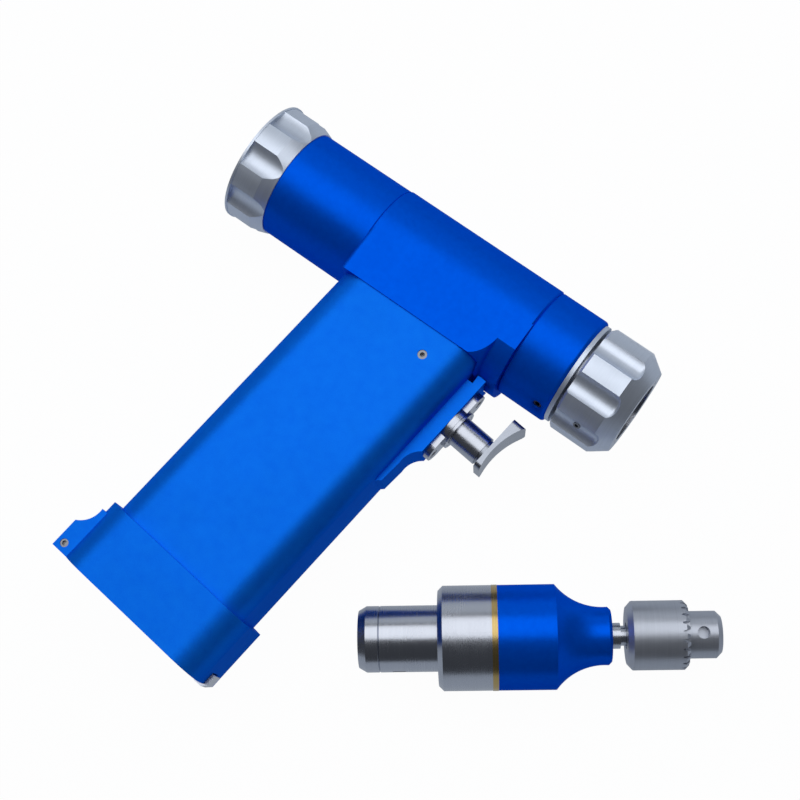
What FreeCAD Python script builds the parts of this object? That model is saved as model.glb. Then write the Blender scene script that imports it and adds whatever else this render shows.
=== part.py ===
"""Surgical power drill: a pistol handpiece lying on its side, with its drill-chuck attachment beside it.

Frame: +X runs along the barrel out of its socket, the grip points to -Y, +Z is up from the table.
The origin is the centre of the attachment socket's mouth. Lengths are millimetres.
"""
import FreeCAD, Part
import math
import os

import Sketcher

doc = FreeCAD.newDocument("surgical_power_drill")
sheet = doc.addObject("Spreadsheet::Sheet", "sizes")

# Driving dimensions: name, value in millimetres (or degrees, or a count), meaning
SIZES = [
    ("barrel_r", 19.0, "rear tube and nose, outer radius"),
    ("head_r", 19.25, "head housing, radius of the round top and half width below it"),
    ("collar_length", 20.2, "front locking collar"),
    ("collar_gap", 2.5, "nose front to collar"),
    ("nose_length", 17.6, "nose housing, visible length"),
    ("head_length", 60.7, "head housing"),
    ("tube_length", 34.6, "rear barrel, visible length"),
    ("cap_length", 14.9, "rear cap"),
    ("cap_r", 21.3, "rear cap, radius of its lip; the drill rests on it"),
    ("cap_step", 0.2, "cap lip proud of the rest"),
    ("cap_front_r", 19.4, "cap's front face, radius"),
    ("cap_front_bevel", 4.4, "cap's front bevel, length"),
    ("cap_flute_phase", 15.5, "cap's flutes, angle of the first from +Y"),
    ("cap_flute_r", 7.7, "cap's flutes, cutter radius"),
    ("cap_flute_depth", 1.75, "cap's flutes, depth"),
    ("fit", 0.05, "radial clearance of a fixed seat"),
    ("run", 0.06, "radial clearance of a turning or sliding fit"),
    ("air", 0.3, "clearance between pieces that pass each other"),
    ("motor_r", 15.9, "motor can, outer radius"),
    ("motor_length", 62.0, "motor can"),
    ("can_wall", 1.2, "motor can, wall"),
    ("bell", 2.0, "motor can, end wall"),
    ("shaft_out", 8.0, "motor shaft ahead of the can"),
    ("hub_r", 8.0, "shaft coupling, radius"),
    ("hub_length", 14.0, "shaft coupling, length"),
    ("motor_end_gap", 3.0, "motor can to the inside of the rear cap"),
    ("rotor_r", 9.0, "rotor magnets, radius"),
    ("rotor_gap", 0.6, "air gap round the rotor"),
    ("shaft_r", 2.5, "motor shaft, radius"),
    ("bearing_r", 6.5, "small bearings, outer radius"),
    ("bearing_width", 4.0, "small bearings, width"),
    ("spigot_length", 7.0, "spigots between the barrel housings"),
    ("spigot_wall", 1.6, "wall left under a spigot"),
    ("seam_y", -18.9, "plane between head and grip"),
    ("neck_r", 21.6, "turned neck below the head, radius"),
    ("neck_length", 6.6, "nose rear to the ridge of the neck"),
    ("neck_round_r", 8.6, "round of the neck's shoulder"),
    ("neck_round_length", 6.6, "length of that round"),
    ("neck_round_rise", 5.8, "rise of that round"),
    ("head_corner_r", 1.2, "rear corners of the head"),
    ("cable_hole_length", 26.0, "opening from grip to head"),
    ("cable_hole_width", 14.0, "opening from grip to head"),
    ("nose_round", 1.2, "front edge of the nose"),
    ("socket_r", 10.36, "attachment socket, bore radius"),
    ("socket_wall", 2.5, "coupling sleeve, wall"),
    ("socket_depth", 25.2, "attachment socket, depth"),
    ("socket_fit_length", 19.7, "attachment socket, length of the fitted bore"),
    ("socket_relief", 0.5, "socket behind its fitted bore, wider in radius"),
    ("socket_recess", 2.0, "coupling sleeve behind the collar's front face"),
    ("mouth_r", 11.6, "collar's front opening, radius"),
    ("collar_face_r", 14.9, "collar's front face, outer radius"),
    ("collar_bevel_length", 5.6, "collar's front bevel"),
    ("collar_cavity_r", 15.4, "spring space in the collar, radius"),
    ("collar_bearing_length", 6.4, "collar's bearing on the coupling sleeve"),
    ("flute_count", 8, "flutes round the collar and round the cap"),
    ("flute_phase", 22.5, "flutes, angle of the first from +Y"),
    ("flute_r", 5.5, "flutes, cutter radius"),
    ("flute_depth", 2.1, "flutes, depth"),
    ("flute_end_r", 2.0, "flutes, rounding of the cutter's end"),
    ("collar_flute_end", 3.2, "collar front to the flutes' round ends"),
    ("cap_lip", 1.3, "cap rear lip behind the flutes, length"),
    ("lock_pin_r", 1.5, "locking pins, radius"),
    ("lock_pin_x", -12.2, "locking pins, place along the barrel"),
    ("lock_pin_length", 2.2, "locking pins, length"),
    ("lock_travel", 1.2, "locking pins, travel inwards"),
    ("collar_screw_r", 1.25, "collar's guide screw, radius"),
    ("collar_screw_x", -12.1, "collar's guide screw, place along the barrel"),
    ("collar_screw_angle", 157.5, "collar's guide screw, angle"),
    ("spindle_r", 4.0, "drive spindle, radius"),
    ("spindle_seal_r", 9.8, "lip seal behind the socket, outer radius"),
    ("spindle_front", -20.0, "drive spindle's front end"),
    ("spindle_rear", -72.5, "drive spindle's rear end"),
    ("drive_slot_width", 2.4, "slot across the spindle's front end"),
    ("drive_slot_depth", 4.0, "slot across the spindle's front end"),
    ("spindle_bearing_r", 8.0, "spindle bearings, outer radius"),
    ("spindle_bearing_width", 5.0, "spindle bearings, width"),
    ("set_screw_r", 1.5, "set screws, radius"),
    ("set_screw_length", 4.2, "set screws, length"),
    ("set_screw_hex", 1.5, "set screws, key size"),
    ("nose_screw_x", -26.1, "nose screws, place along the barrel"),
    ("lean", 6.0, "grip leans back from square, degrees"),
    ("grip_front_x", -48.1, "grip's front face at the seam"),
    ("grip_depth", 52.2, "grip, front to back"),
    ("grip_half", 18.6, "grip, half thickness"),
    ("grip_corner_r", 8.5, "grip's corners"),
    ("grip_wall", 2.4, "grip wall"),
    ("grip_length", 112.0, "grip shell along its front face"),
    ("grip_screw_s", 10.2, "grip set screws below the seam"),
    ("grip_screw_t", 13.9, "grip set screws behind the front face"),
    ("tenon_length", 15.0, "tenon under the head, below the seam"),
    ("tenon_front", 7.0, "tenon behind the grip's front face"),
    ("tenon_wall", 4.6, "tenon wall"),
    ("ring_top", 108.0, "battery ring, top edge"),
    ("ring_height", 22.1, "battery ring"),
    ("ring_proud", 3.0, "battery ring proud of the grip, front and back"),
    ("ring_half", 20.7, "battery ring, half thickness"),
    ("ring_wall", 3.2, "battery ring wall below the grip"),
    ("lug_out", 3.9, "hinge lug behind the ring"),
    ("lug_height", 10.1, "hinge lug"),
    ("lug_half", 16.8, "hinge lug, half width"),
    ("lug_notch_r", 8.0, "round above the hinge lug"),
    ("knuckle_half", 9.5, "lid knuckle, half width"),
    ("hinge_up", 2.7, "hinge pin above the ring's bottom"),
    ("hinge_in", 2.5, "hinge pin ahead of the lug's back"),
    ("hinge_pin_r", 1.3, "hinge pin, radius"),
    ("knuckle_r", 2.3, "lid knuckle, radius"),
    ("lid_thickness", 2.6, "battery lid"),
    ("lid_back_gap", 1.6, "lid's back edge to the ring's wall"),
    ("lid_proud", 0.5, "lid's boss below the ring"),
    ("seal_thickness", 0.8, "lid seal"),
    ("seal_width", 1.6, "lid seal"),
    ("latch_width", 9.0, "latch block, across"),
    ("latch_length", 7.0, "latch block, front to back"),
    ("latch_height", 5.2, "latch block, height"),
    ("latch_proud", 1.1, "latch block beyond the ring's front and bottom"),
    ("latch_travel", 1.5, "latch block, travel"),
    ("latch_bevel", 1.5, "latch block, bevel"),
    ("battery_top", 31.0, "battery's top below the seam"),
    ("battery_gap", 0.8, "battery to the grip's inside"),
    ("trigger_s", 17.9, "trigger plunger below the seam"),
    ("trigger_block_top", 1.4, "trigger block's top"),
    ("trigger_block_end", 48.5, "trigger block's lower end"),
    ("trigger_block_out", 4.8, "trigger block, thickness"),
    ("trigger_block_half", 7.4, "trigger block, half width"),
    ("trigger_block_tip", 1.5, "trigger block's lower tip, thickness"),
    ("scoop_start", 31.7, "trigger block's scoop, upper end"),
    ("scoop_end", 39.0, "trigger block's scoop, lower end"),
    ("scoop_r", 8.0, "trigger block's scoop, radius"),
    ("flange_thickness", 2.0, "trigger flange, ears"),
    ("flange_reach", 14.6, "trigger flange, plunger axis to the ears' ends"),
    ("flange_half", 4.8, "trigger flange, half width of the ears"),
    ("boss_r", 7.1, "trigger flange, boss radius"),
    ("boss_out", 3.2, "trigger flange, boss length"),
    ("boss_rim", 0.7, "trigger flange, boss ahead of its groove"),
    ("boss_groove", 0.4, "trigger flange, width and depth of the boss's groove"),
    ("flange_screw_r", 1.0, "flange screws, radius"),
    ("flange_screw_head_r", 1.7, "flange screws, head radius"),
    ("flange_screw_pitch", 11.0, "flange screws from the plunger"),
    ("flange_screw_length", 6.0, "flange screws, length"),
    ("plunger_r", 5.15, "trigger plunger, radius"),
    ("bush_wall", 0.8, "trigger bush wall"),
    ("bush_inner", 4.0, "trigger bush behind the grip's front face"),
    ("plunger_out", 19.6, "plunger end ahead of the grip"),
    ("plunger_in", 12.0, "plunger end inside the grip"),
    ("plunger_stop_r", 6.0, "plunger's stop ring, radius"),
    ("trigger_travel", 5.0, "trigger travel"),
    ("plate_top", 4.3, "finger plate, upper end"),
    ("plate_end", 24.2, "finger plate, lower end"),
    ("plate_low", 17.0, "finger plate, thinnest place below the seam"),
    ("plate_thin", 1.4, "finger plate, thickness there"),
    ("plate_hollow_r", 27.0, "finger plate, radius of its hollow front"),
    ("plate_half", 7.0, "finger plate, half width"),
    ("plate_corner_r", 2.0, "finger plate, corners"),
    ("wire_r", 0.4, "trigger spring wire, radius"),
    ("spring_turns", 4, "trigger spring, turns"),
    ("attachment_x", -9.2, "attachment's seat face, place"),
    ("attachment_y", -94.4, "attachment's seat face, place"),
    ("attachment_turn", 36.8, "attachment's axis from the barrel's, degrees"),
    ("shank_r", 10.3, "attachment shank, radius"),
    ("shank_length", 24.8, "attachment shank"),
    ("shank_bevel", 2.4, "shank's rear bevel, length"),
    ("shank_bevel_drop", 1.4, "shank's rear bevel, drop"),
    ("shank_line", 6.5, "shank end to the turned line"),
    ("notch_width", 3.2, "locking notches in the shank"),
    ("notch_depth", 1.6, "locking notches in the shank"),
    ("body_r", 16.3, "attachment body, radius"),
    ("steel_length", 16.7, "attachment's steel collar"),
    ("steel_bevel", 1.5, "steel collar's rear bevel"),
    ("brass_length", 1.8, "brass ring"),
    ("brass_proud", 0.1, "brass ring proud of the body"),
    ("cone_straight", 17.9, "blue body, straight part"),
    ("cone_length", 16.3, "blue body, hollow cone"),
    ("cone_end_r", 9.0, "blue body, small end"),
    ("cone_hollow_r", 19.0, "blue body, radius of the hollow"),
    ("cone_nose", 0.9, "blue body, end bevel"),
    ("gear_module", 0.8, "planetary gears, module"),
    ("sun_teeth", 12, "sun gear"),
    ("planet_teeth", 9, "planet gears"),
    ("ring_teeth", 30, "ring gear"),
    ("planet_count", 3, "planet gears"),
    ("gear_width", 8.0, "planet gears, width"),
    ("gear_play", 0.12, "gears, play at the pitch circle"),
    ("ring_rim", 1.5, "ring gear, rim behind the teeth"),
    ("gear_addendum", 0.75, "gears, tooth height above the pitch circle, in modules"),
    ("gear_dedendum", 1.0, "gears, tooth depth below the pitch circle, in modules"),
    ("pressure_angle", 22.5, "gears, pressure angle"),
    ("gear_start", 5.6, "planet gears' rear face from the seat face"),
    ("planet_pin_r", 1.1, "planet pins, radius"),
    ("carrier_thickness", 3.0, "planet carrier disc"),
    ("carrier_r", 12.4, "planet carrier disc, radius"),
    ("input_r", 2.6, "input shaft, radius"),
    ("input_tang", 4.0, "input shaft's driving tang, length"),
    ("tang_thickness", 2.0, "input shaft's driving tang"),
    ("output_r", 4.0, "output spindle, radius"),
    ("output_bearing_r", 7.4, "output bearings, outer radius"),
    ("neck_spindle_r", 3.7, "spindle step before the chuck, radius"),
    ("groove_spindle_r", 3.1, "spindle groove behind the chuck, radius"),
    ("spindle_step", 2.8, "spindle step before the chuck, length"),
    ("spindle_groove", 1.9, "spindle groove behind the chuck, length"),
    ("chuck_stub", 7.0, "spindle stub inside the chuck"),
    ("chuck_r", 10.7, "chuck sleeve, radius"),
    ("chuck_cone", 1.6, "chuck's rear cone, length"),
    ("chuck_rear_r", 8.9, "chuck's rear face, radius"),
    ("sleeve_length", 17.2, "chuck sleeve"),
    ("sleeve_wall", 1.4, "chuck sleeve wall"),
    ("nose_r", 7.3, "chuck nose, radius"),
    ("chuck_nose_out", 10.3, "chuck nose ahead of the sleeve"),
    ("chuck_nose_bevel", 1.6, "chuck nose, front bevel"),
    ("key_hole_r", 1.9, "chuck key holes, radius"),
    ("key_hole_out", 4.3, "chuck key holes ahead of the sleeve"),
    ("crown_teeth", 24, "bevel teeth on the sleeve's front edge"),
    ("crown_depth", 2.3, "bevel teeth, depth along the axis"),
    ("chuck_mouth_r", 2.0, "chuck's front opening, radius"),
    ("jaw_angle", 13.0, "jaws' slope to the axis, degrees"),
    ("jaw_r", 1.5, "jaws, radius"),
    ("jaw_length", 18.0, "jaws, length"),
    ("jaw_tip_r", 0.9, "jaw axis from the chuck's axis at the nose"),
    ("jaw_gap", 0.1, "between the closed jaws"),
    ("jaw_travel", 8.6, "jaws, travel along their slope"),
    ("nut_back", 7.6, "chuck nut's rear face behind the sleeve's front"),
    ("nut_length", 4.6, "chuck nut"),
    ("cap_floor_thickness", 3.6, "rear cap, end wall"),
    ("cap_bevel", 1.4, "rear cap, bevels"),
    ("head_edge", 0.5, "small edge bevels of the barrel pieces"),
    ("bearing_seat_length", 12.0, "rear spindle bearing's seat in the head"),
    ("seal_groove", 0.9, "seal groove under the cap, depth"),
    ("sleeve_step", 0.45, "coupling sleeve's flange inside the nose"),
    ("sleeve_floor", 4.0, "coupling sleeve's rear wall"),
    ("socket_edge", 0.7, "lead-in of the socket and edges of the collar"),
    ("seal_room", 1.9, "output seal, radial width"),
    ("nose_screw_angle", 157.5, "nose screws, angle"),
    ("nose_ring_width", 1.4, "silver ring ahead of the nose"),
    ("lock_pin_count", 3, "locking pins"),
    ("lock_pin_angle", 90.0, "first locking pin, angle"),
    ("collar_screw_hex", 1.3, "collar's guide screw, key size"),
    ("coil_r", 0.5, "collar spring wire, half width"),
    ("collar_coils", 3, "collar spring, turns"),
    ("winding_gap", 2.0, "windings to the motor's end walls"),
    ("lug_notch_rise", 8.0, "height of the round above the hinge lug"),
    ("knuckle_room", 0.6, "space above the lid knuckle"),
    ("contact_pitch", 8.0, "battery contacts, spacing"),
    ("contact_foot", 3.0, "battery contacts, block under the board"),
    ("contact_width", 2.0, "battery contacts, half width"),
    ("board_s", 22.6, "control board below the seam"),
    ("board_thickness", 1.6, "control board"),
    ("chip_size", 3.8, "largest components on the board, half width"),
    ("chip_pitch", 10.0, "components on the board, spacing"),
    ("chip_height", 2.4, "components on the board"),
    ("board_front", 19.0, "control board behind the grip's front face"),
    ("board_half", 12.0, "control board, half width"),
    ("switch_length", 9.0, "trigger switch, length"),
    ("switch_half", 5.0, "trigger switch, half width"),
    ("trigger_spring_length", 9.0, "trigger spring at rest"),
    ("trigger_coil_r", 3.4, "trigger spring, radius"),
    ("scoop_step", 0.4, "trigger block's tip, step at the scoop"),
    ("flange_screw_head", 1.1, "flange screws, head height"),
    ("plate_neck", 1.5, "finger plate's neck and plunger's stop ring, length"),
    ("line_depth", 0.25, "turned line on the shank, depth"),
    ("notch_angle", 180.0, "locking notches, angle"),
    ("notch_rear", 14.2, "locking notches behind the seat face"),
    ("notch_length", 4.0, "locking notches, length"),
    ("output_lip", 3.6, "output seal's seat, length"),
    ("core_groove_r", 5.4, "nut groove of the chuck body, radius"),
    ("key_hole_angle", 90.0, "chuck key holes, angle of the first"),
    ("key_hole_depth", 3.0, "chuck key holes, depth"),
    ("crown_bevel", 1.2, "sleeve's front bevel"),
    ("crown_half", 0.95, "gap between the bevel teeth, half width outside"),
    ("crown_floor", 0.25, "gap between the bevel teeth, half width at the bottom"),
]
S = type("Sizes", (), {})()


def words(value):
    """The text of a size or plain number inside an expression."""
    return value.text if isinstance(value, Size) else repr(float(value))


def number(value):
    """The present value of a size or plain number."""
    return value.value if isinstance(value, Size) else float(value)


class Size:
    """A length that carries its spreadsheet expression with its present value."""

    def __init__(self, text, value):
        self.text = text
        self.value = float(value)

    def __add__(self, other):
        return Size(f"({self.text} + {words(other)})", self.value + number(other))

    def __radd__(self, other):
        return self + other

    def __sub__(self, other):
        return Size(f"({self.text} - {words(other)})", self.value - number(other))

    def __rsub__(self, other):
        return Size(f"({words(other)} - {self.text})", number(other) - self.value)

    def __mul__(self, other):
        return Size(f"({self.text} * {words(other)})", self.value * number(other))

    def __rmul__(self, other):
        return self * other

    def __truediv__(self, other):
        return Size(f"({self.text} / {words(other)})", self.value / number(other))

    def __neg__(self):
        return Size(f"(0 - {self.text})", -self.value)


for row, (alias, amount, meaning) in enumerate(SIZES, 1):
    sheet.set(f"A{row}", meaning)
    sheet.set(f"B{row}", str(amount))
    sheet.setAlias(f"B{row}", alias)
doc.recompute()
for alias, _, _ in SIZES:
    setattr(S, alias, Size(f"sizes.{alias}", float(getattr(sheet, alias))))


def root_of(value):
    """Square root of a size."""
    return Size(f"sqrt({value.text})", math.sqrt(value.value))


def turned(value, name):
    """sin, cos or tan of an angle in degrees."""
    ratio = {"sin": math.sin, "cos": math.cos, "tan": math.tan}[name]
    return Size(f"{name}({value.text})", ratio(math.radians(value.value)))


LEFT, RIGHT = 1, -1
subparts = {}


def bind(item, field, value):
    """Set a property to a size's value and tie it to the size's expression."""
    if isinstance(value, Size):
        item.setExpression(field, value.text)
    else:
        setattr(item, field, value)


def new_body(label, placement=None):
    """One physical piece."""
    body = doc.addObject("PartDesign::Body", label)
    body.Label = label
    body.Placement = placement or FreeCAD.Placement()
    subparts[label] = body
    return body


def origin_item(body, role):
    """A plane or axis of the body's own origin."""
    return next(item for item in body.Origin.OriginFeatures if item.Role == role)


def new_sketch(body, plane, offset=None):
    """An empty sketch on one of the body's origin planes, moved along the plane's normal by offset."""
    sketch = body.newObject("Sketcher::SketchObject", f"{body.Name}_sketch")
    sketch.AttachmentSupport = [(origin_item(body, plane), "")]
    sketch.MapMode = "FlatFace"
    if offset is not None:
        sketch.AttachmentOffset = FreeCAD.Placement(FreeCAD.Vector(0, 0, number(offset)), FreeCAD.Rotation())
        bind(sketch, "AttachmentOffset.Base.z", offset)
    return sketch


def pin_point(sketch, geometry, position, x, y):
    """Hold a sketch point at x, y from the origin."""
    for kind, value in (("DistanceX", x), ("DistanceY", y)):
        index = sketch.addConstraint(Sketcher.Constraint(kind, -1, 1, geometry, position, number(value)))
        if isinstance(value, Size):
            sketch.setExpression(f"Constraints[{index}]", value.text)


def outline(sketch, *points):
    """A closed outline. A point is (x, y), reached by a line, or (x, y, radius, LEFT or RIGHT), reached by
    an arc that turns that way."""
    spots = [FreeCAD.Vector(number(point[0]), number(point[1]), 0) for point in points]
    ends = []
    for index, point in enumerate(points):
        here, there = spots[index - 1], spots[index]
        if len(point) == 2:
            ends.append((sketch.addGeometry(Part.LineSegment(here, there)), 1, 2))
            continue
        radius, turn = number(point[2]), point[3]
        half = (there - here) * 0.5
        side = FreeCAD.Vector(-half.y, half.x, 0).normalize() * turn
        rise = math.sqrt(max(radius ** 2 - half.Length ** 2, 0))
        middle = here + half + side * rise
        first, last = (here, there) if turn == LEFT else (there, here)
        angles = [math.atan2(spot.y - middle.y, spot.x - middle.x) for spot in (first, last)]
        circle = Part.Circle(middle, FreeCAD.Vector(0, 0, 1), radius)
        geometry = sketch.addGeometry(Part.ArcOfCircle(circle, angles[0], angles[1]))
        ends.append((geometry, 1, 2) if turn == LEFT else (geometry, 2, 1))
        index = sketch.addConstraint(Sketcher.Constraint("Radius", geometry, radius))
        if isinstance(point[2], Size):
            sketch.setExpression(f"Constraints[{index}]", point[2].text)
    for index, (geometry, _, last) in enumerate(ends):
        following, first, _ = ends[(index + 1) % len(ends)]
        sketch.addConstraint(Sketcher.Constraint("Coincident", geometry, last, following, first))
        pin_point(sketch, geometry, last, points[index][0], points[index][1])
    return sketch


def circle(sketch, x, y, radius):
    """A circle in a sketch."""
    spot = FreeCAD.Vector(number(x), number(y), 0)
    geometry = sketch.addGeometry(Part.Circle(spot, FreeCAD.Vector(0, 0, 1), number(radius)))
    pin_point(sketch, geometry, 3, x, y)
    index = sketch.addConstraint(Sketcher.Constraint("Radius", geometry, number(radius)))
    if isinstance(radius, Size):
        sketch.setExpression(f"Constraints[{index}]", radius.text)
    return sketch


def rounded_box(sketch, x0, x1, half, radius):
    """A rectangle from x0 to x1, half wide to each side of the x axis, with round corners."""
    return outline(
        sketch,
        (x1 - radius, 0 - half),
        (x1, radius - half, radius, LEFT), (x1, half - radius),
        (x1 - radius, half, radius, LEFT), (x0 + radius, half),
        (x0, half - radius, radius, LEFT), (x0, radius - half),
        (x0 + radius, 0 - half, radius, LEFT),
    )


def sweep(body, kind, sketch, length=None, both=False, flip=False):
    """A pad or pocket of a sketch. With no length it goes right through."""
    feature = body.newObject(f"PartDesign::{kind}", f"{body.Name}_{kind.lower()}")
    feature.Profile = sketch
    if length is None:
        feature.Type = "ThroughAll"
    else:
        bind(feature, "Length", length)
    feature.SideType = "Symmetric" if both else "One side"
    feature.Reversed = flip
    sketch.Visibility = False
    return feature


def spin(body, kind, sketch, axis="H_Axis"):
    """A revolution or groove of a sketch about one of its own axes."""
    feature = body.newObject(f"PartDesign::{kind}", f"{body.Name}_{kind.lower()}")
    feature.Profile = sketch
    feature.ReferenceAxis = (sketch, [axis])
    feature.Angle = 360
    return feature


def around(body, features, count, role="X_Axis"):
    """Repeat features round one of the body's axes."""
    pattern = body.newObject("PartDesign::PolarPattern", f"{body.Name}_round")
    pattern.Originals = features
    pattern.Axis = (origin_item(body, role), [""])
    pattern.Angle = 360
    bind(pattern, "Occurrences", count)
    body.Tip = pattern
    return pattern


def lathe(label, *points, placement=None):
    """A turned piece: an outline of (x, radius) points spun about its own x axis."""
    body = new_body(label, placement)
    spin(body, "Revolution", outline(new_sketch(body, "XY_Plane"), *points))
    return body


def tube(label, x0, x1, inner, outer, placement=None):
    """A turned ring."""
    return lathe(label, (x0, inner), (x1, inner), (x1, outer), (x0, outer), placement=placement)


def dress(body, kind, test, value):
    """Fillet or chamfer the edges of the body's tip that pass a test."""
    doc.recompute()
    base = body.Tip
    names = [f"Edge{index}" for index, edge in enumerate(base.Shape.Edges, 1) if test(edge)]
    if not names:
        raise ValueError(f"{body.Label}: no edge to {kind.lower()}")
    feature = body.newObject(f"PartDesign::{kind}", f"{body.Name}_{kind.lower()}")
    feature.Base = (base, names)
    bind(feature, "Radius" if kind == "Fillet" else "Size", value)
    body.Tip = feature
    return feature


def lies(edge, **limits):
    """Whether an edge's box stays within a hundredth of the given x, y or z values."""
    box = edge.BoundBox
    spans = {"x": (box.XMin, box.XMax), "y": (box.YMin, box.YMax), "z": (box.ZMin, box.ZMax)}
    near = 0.01
    for axis, value in limits.items():
        low, high = spans[axis]
        if abs(low - number(value)) > near or abs(high - number(value)) > near:
            return False
    return True


def solid_part(label, shape, placement=None):
    """A piece whose shape is worked out here, because it has teeth, coils or slanted cuts."""
    item = doc.addObject("Part::Feature", label)
    item.Label = label
    item.Shape = shape
    item.Placement = placement or FreeCAD.Placement()
    subparts[label] = item
    return item


def cylinder(radius, length, start, direction):
    """A plain cylinder from start along direction."""
    return Part.makeCylinder(number(radius), number(length), start, direction)


def hex_screw(radius, length, key):
    """A set screw along +z from 0 to length, with a hexagon socket in its top and a bevelled tip."""
    reach, tip = number(radius), number(radius) * 0.6
    body = Part.makeCylinder(reach, number(length) - tip / 2)
    body.translate(FreeCAD.Vector(0, 0, tip / 2))
    body = body.fuse(Part.makeCone(tip, reach, tip / 2))
    across = number(key) / math.sqrt(3)
    turns = [math.radians(60 * index) for index in range(7)]
    hexagon = Part.makePolygon([FreeCAD.Vector(across * math.cos(a), across * math.sin(a), 0) for a in turns])
    depth = number(length) * 0.55
    hole = Part.Face(hexagon).extrude(FreeCAD.Vector(0, 0, depth))
    hole.translate(FreeCAD.Vector(0, 0, number(length) - depth))
    return body.cut(hole).removeSplitter()


def aim(start, direction, roll=0.0):
    """A placement that takes the z axis to a direction, from a start point."""
    turn = FreeCAD.Rotation(FreeCAD.Vector(0, 0, 1), direction)
    return FreeCAD.Placement(start, turn * FreeCAD.Rotation(FreeCAD.Vector(0, 0, 1), roll))


def radial(angle):
    """The unit vector square to the x axis, at an angle from +y towards +z."""
    turn = math.radians(number(angle))
    return FreeCAD.Vector(0, math.cos(turn), math.sin(turn))


# Stations along the barrel, from the socket's mouth back
collar_rear = -S.collar_length
nose_front = collar_rear - S.collar_gap
nose_rear = nose_front - S.nose_length
neck_ridge = nose_rear - S.neck_length
head_rear = nose_rear - S.head_length
tube_rear = head_rear - S.tube_length
cap_rear = tube_rear - S.cap_length
bore_r = S.motor_r + S.fit
spigot_r = bore_r + S.spigot_wall
thread_r = spigot_r + S.fit
cap_floor = cap_rear + S.cap_floor_thickness
motor_rear = cap_floor + S.motor_end_gap
motor_front = motor_rear + S.motor_length
seat_r = S.spindle_bearing_r + S.fit
sleeve_r = S.socket_r + S.socket_wall
nose_bore_r = sleeve_r + S.sleeve_step
socket_front = -S.socket_recess
socket_floor = socket_front - S.socket_depth
sleeve_rear = socket_floor - S.sleeve_floor

# Frame of the grip: x ahead, y up from the table, z down along the grip; 0 is its front face at the seam
grip_place = FreeCAD.Placement(
    FreeCAD.Vector(number(S.grip_front_x), number(S.seam_y), 0),
    FreeCAD.Rotation(FreeCAD.Vector(0, 0, 1), -number(S.lean))
    * FreeCAD.Rotation(FreeCAD.Vector(1, 0, 0), 90),
)
# Frame of the attachment: x along its axis, 0 is the face that seats on the drill's collar
attachment_place = FreeCAD.Placement(
    FreeCAD.Vector(number(S.attachment_x), number(S.attachment_y), number(S.body_r - S.cap_r)),
    FreeCAD.Rotation(FreeCAD.Vector(0, 0, 1), number(S.attachment_turn)),
)


def moved(frame, x=0, y=0, z=0):
    """A frame shifted along its own axes."""
    shift = FreeCAD.Vector(number(x), number(y), number(z))
    return frame * FreeCAD.Placement(shift, FreeCAD.Rotation())


def bore(body, radius, length, start, direction):
    """A round hole from a start point along a direction."""
    hole = body.newObject("PartDesign::SubtractiveCylinder", f"{body.Name}_bore")
    hole.Placement = aim(start, direction)
    bind(hole, "Radius", radius)
    bind(hole, "Height", length)
    return hole


def flute_cut(body, lift, *points):
    """One flute: an end mill's outline of (x, radius) points, spun about a line lifted from the x axis,
    then repeated round the piece."""
    sketch = new_sketch(body, "XY_Plane")
    sketch.AttachmentOffset = FreeCAD.Placement(FreeCAD.Vector(0, number(lift), 0), FreeCAD.Rotation())
    bind(sketch, "AttachmentOffset.Base.y", lift)
    flute = spin(body, "Groove", outline(sketch, *points))
    around(body, [flute], S.flute_count)


def turned_on_x(angle):
    """A placement turned about the x axis, from +y towards +z."""
    return FreeCAD.Placement(FreeCAD.Vector(), FreeCAD.Rotation(FreeCAD.Vector(1, 0, 0), number(angle)))


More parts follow.
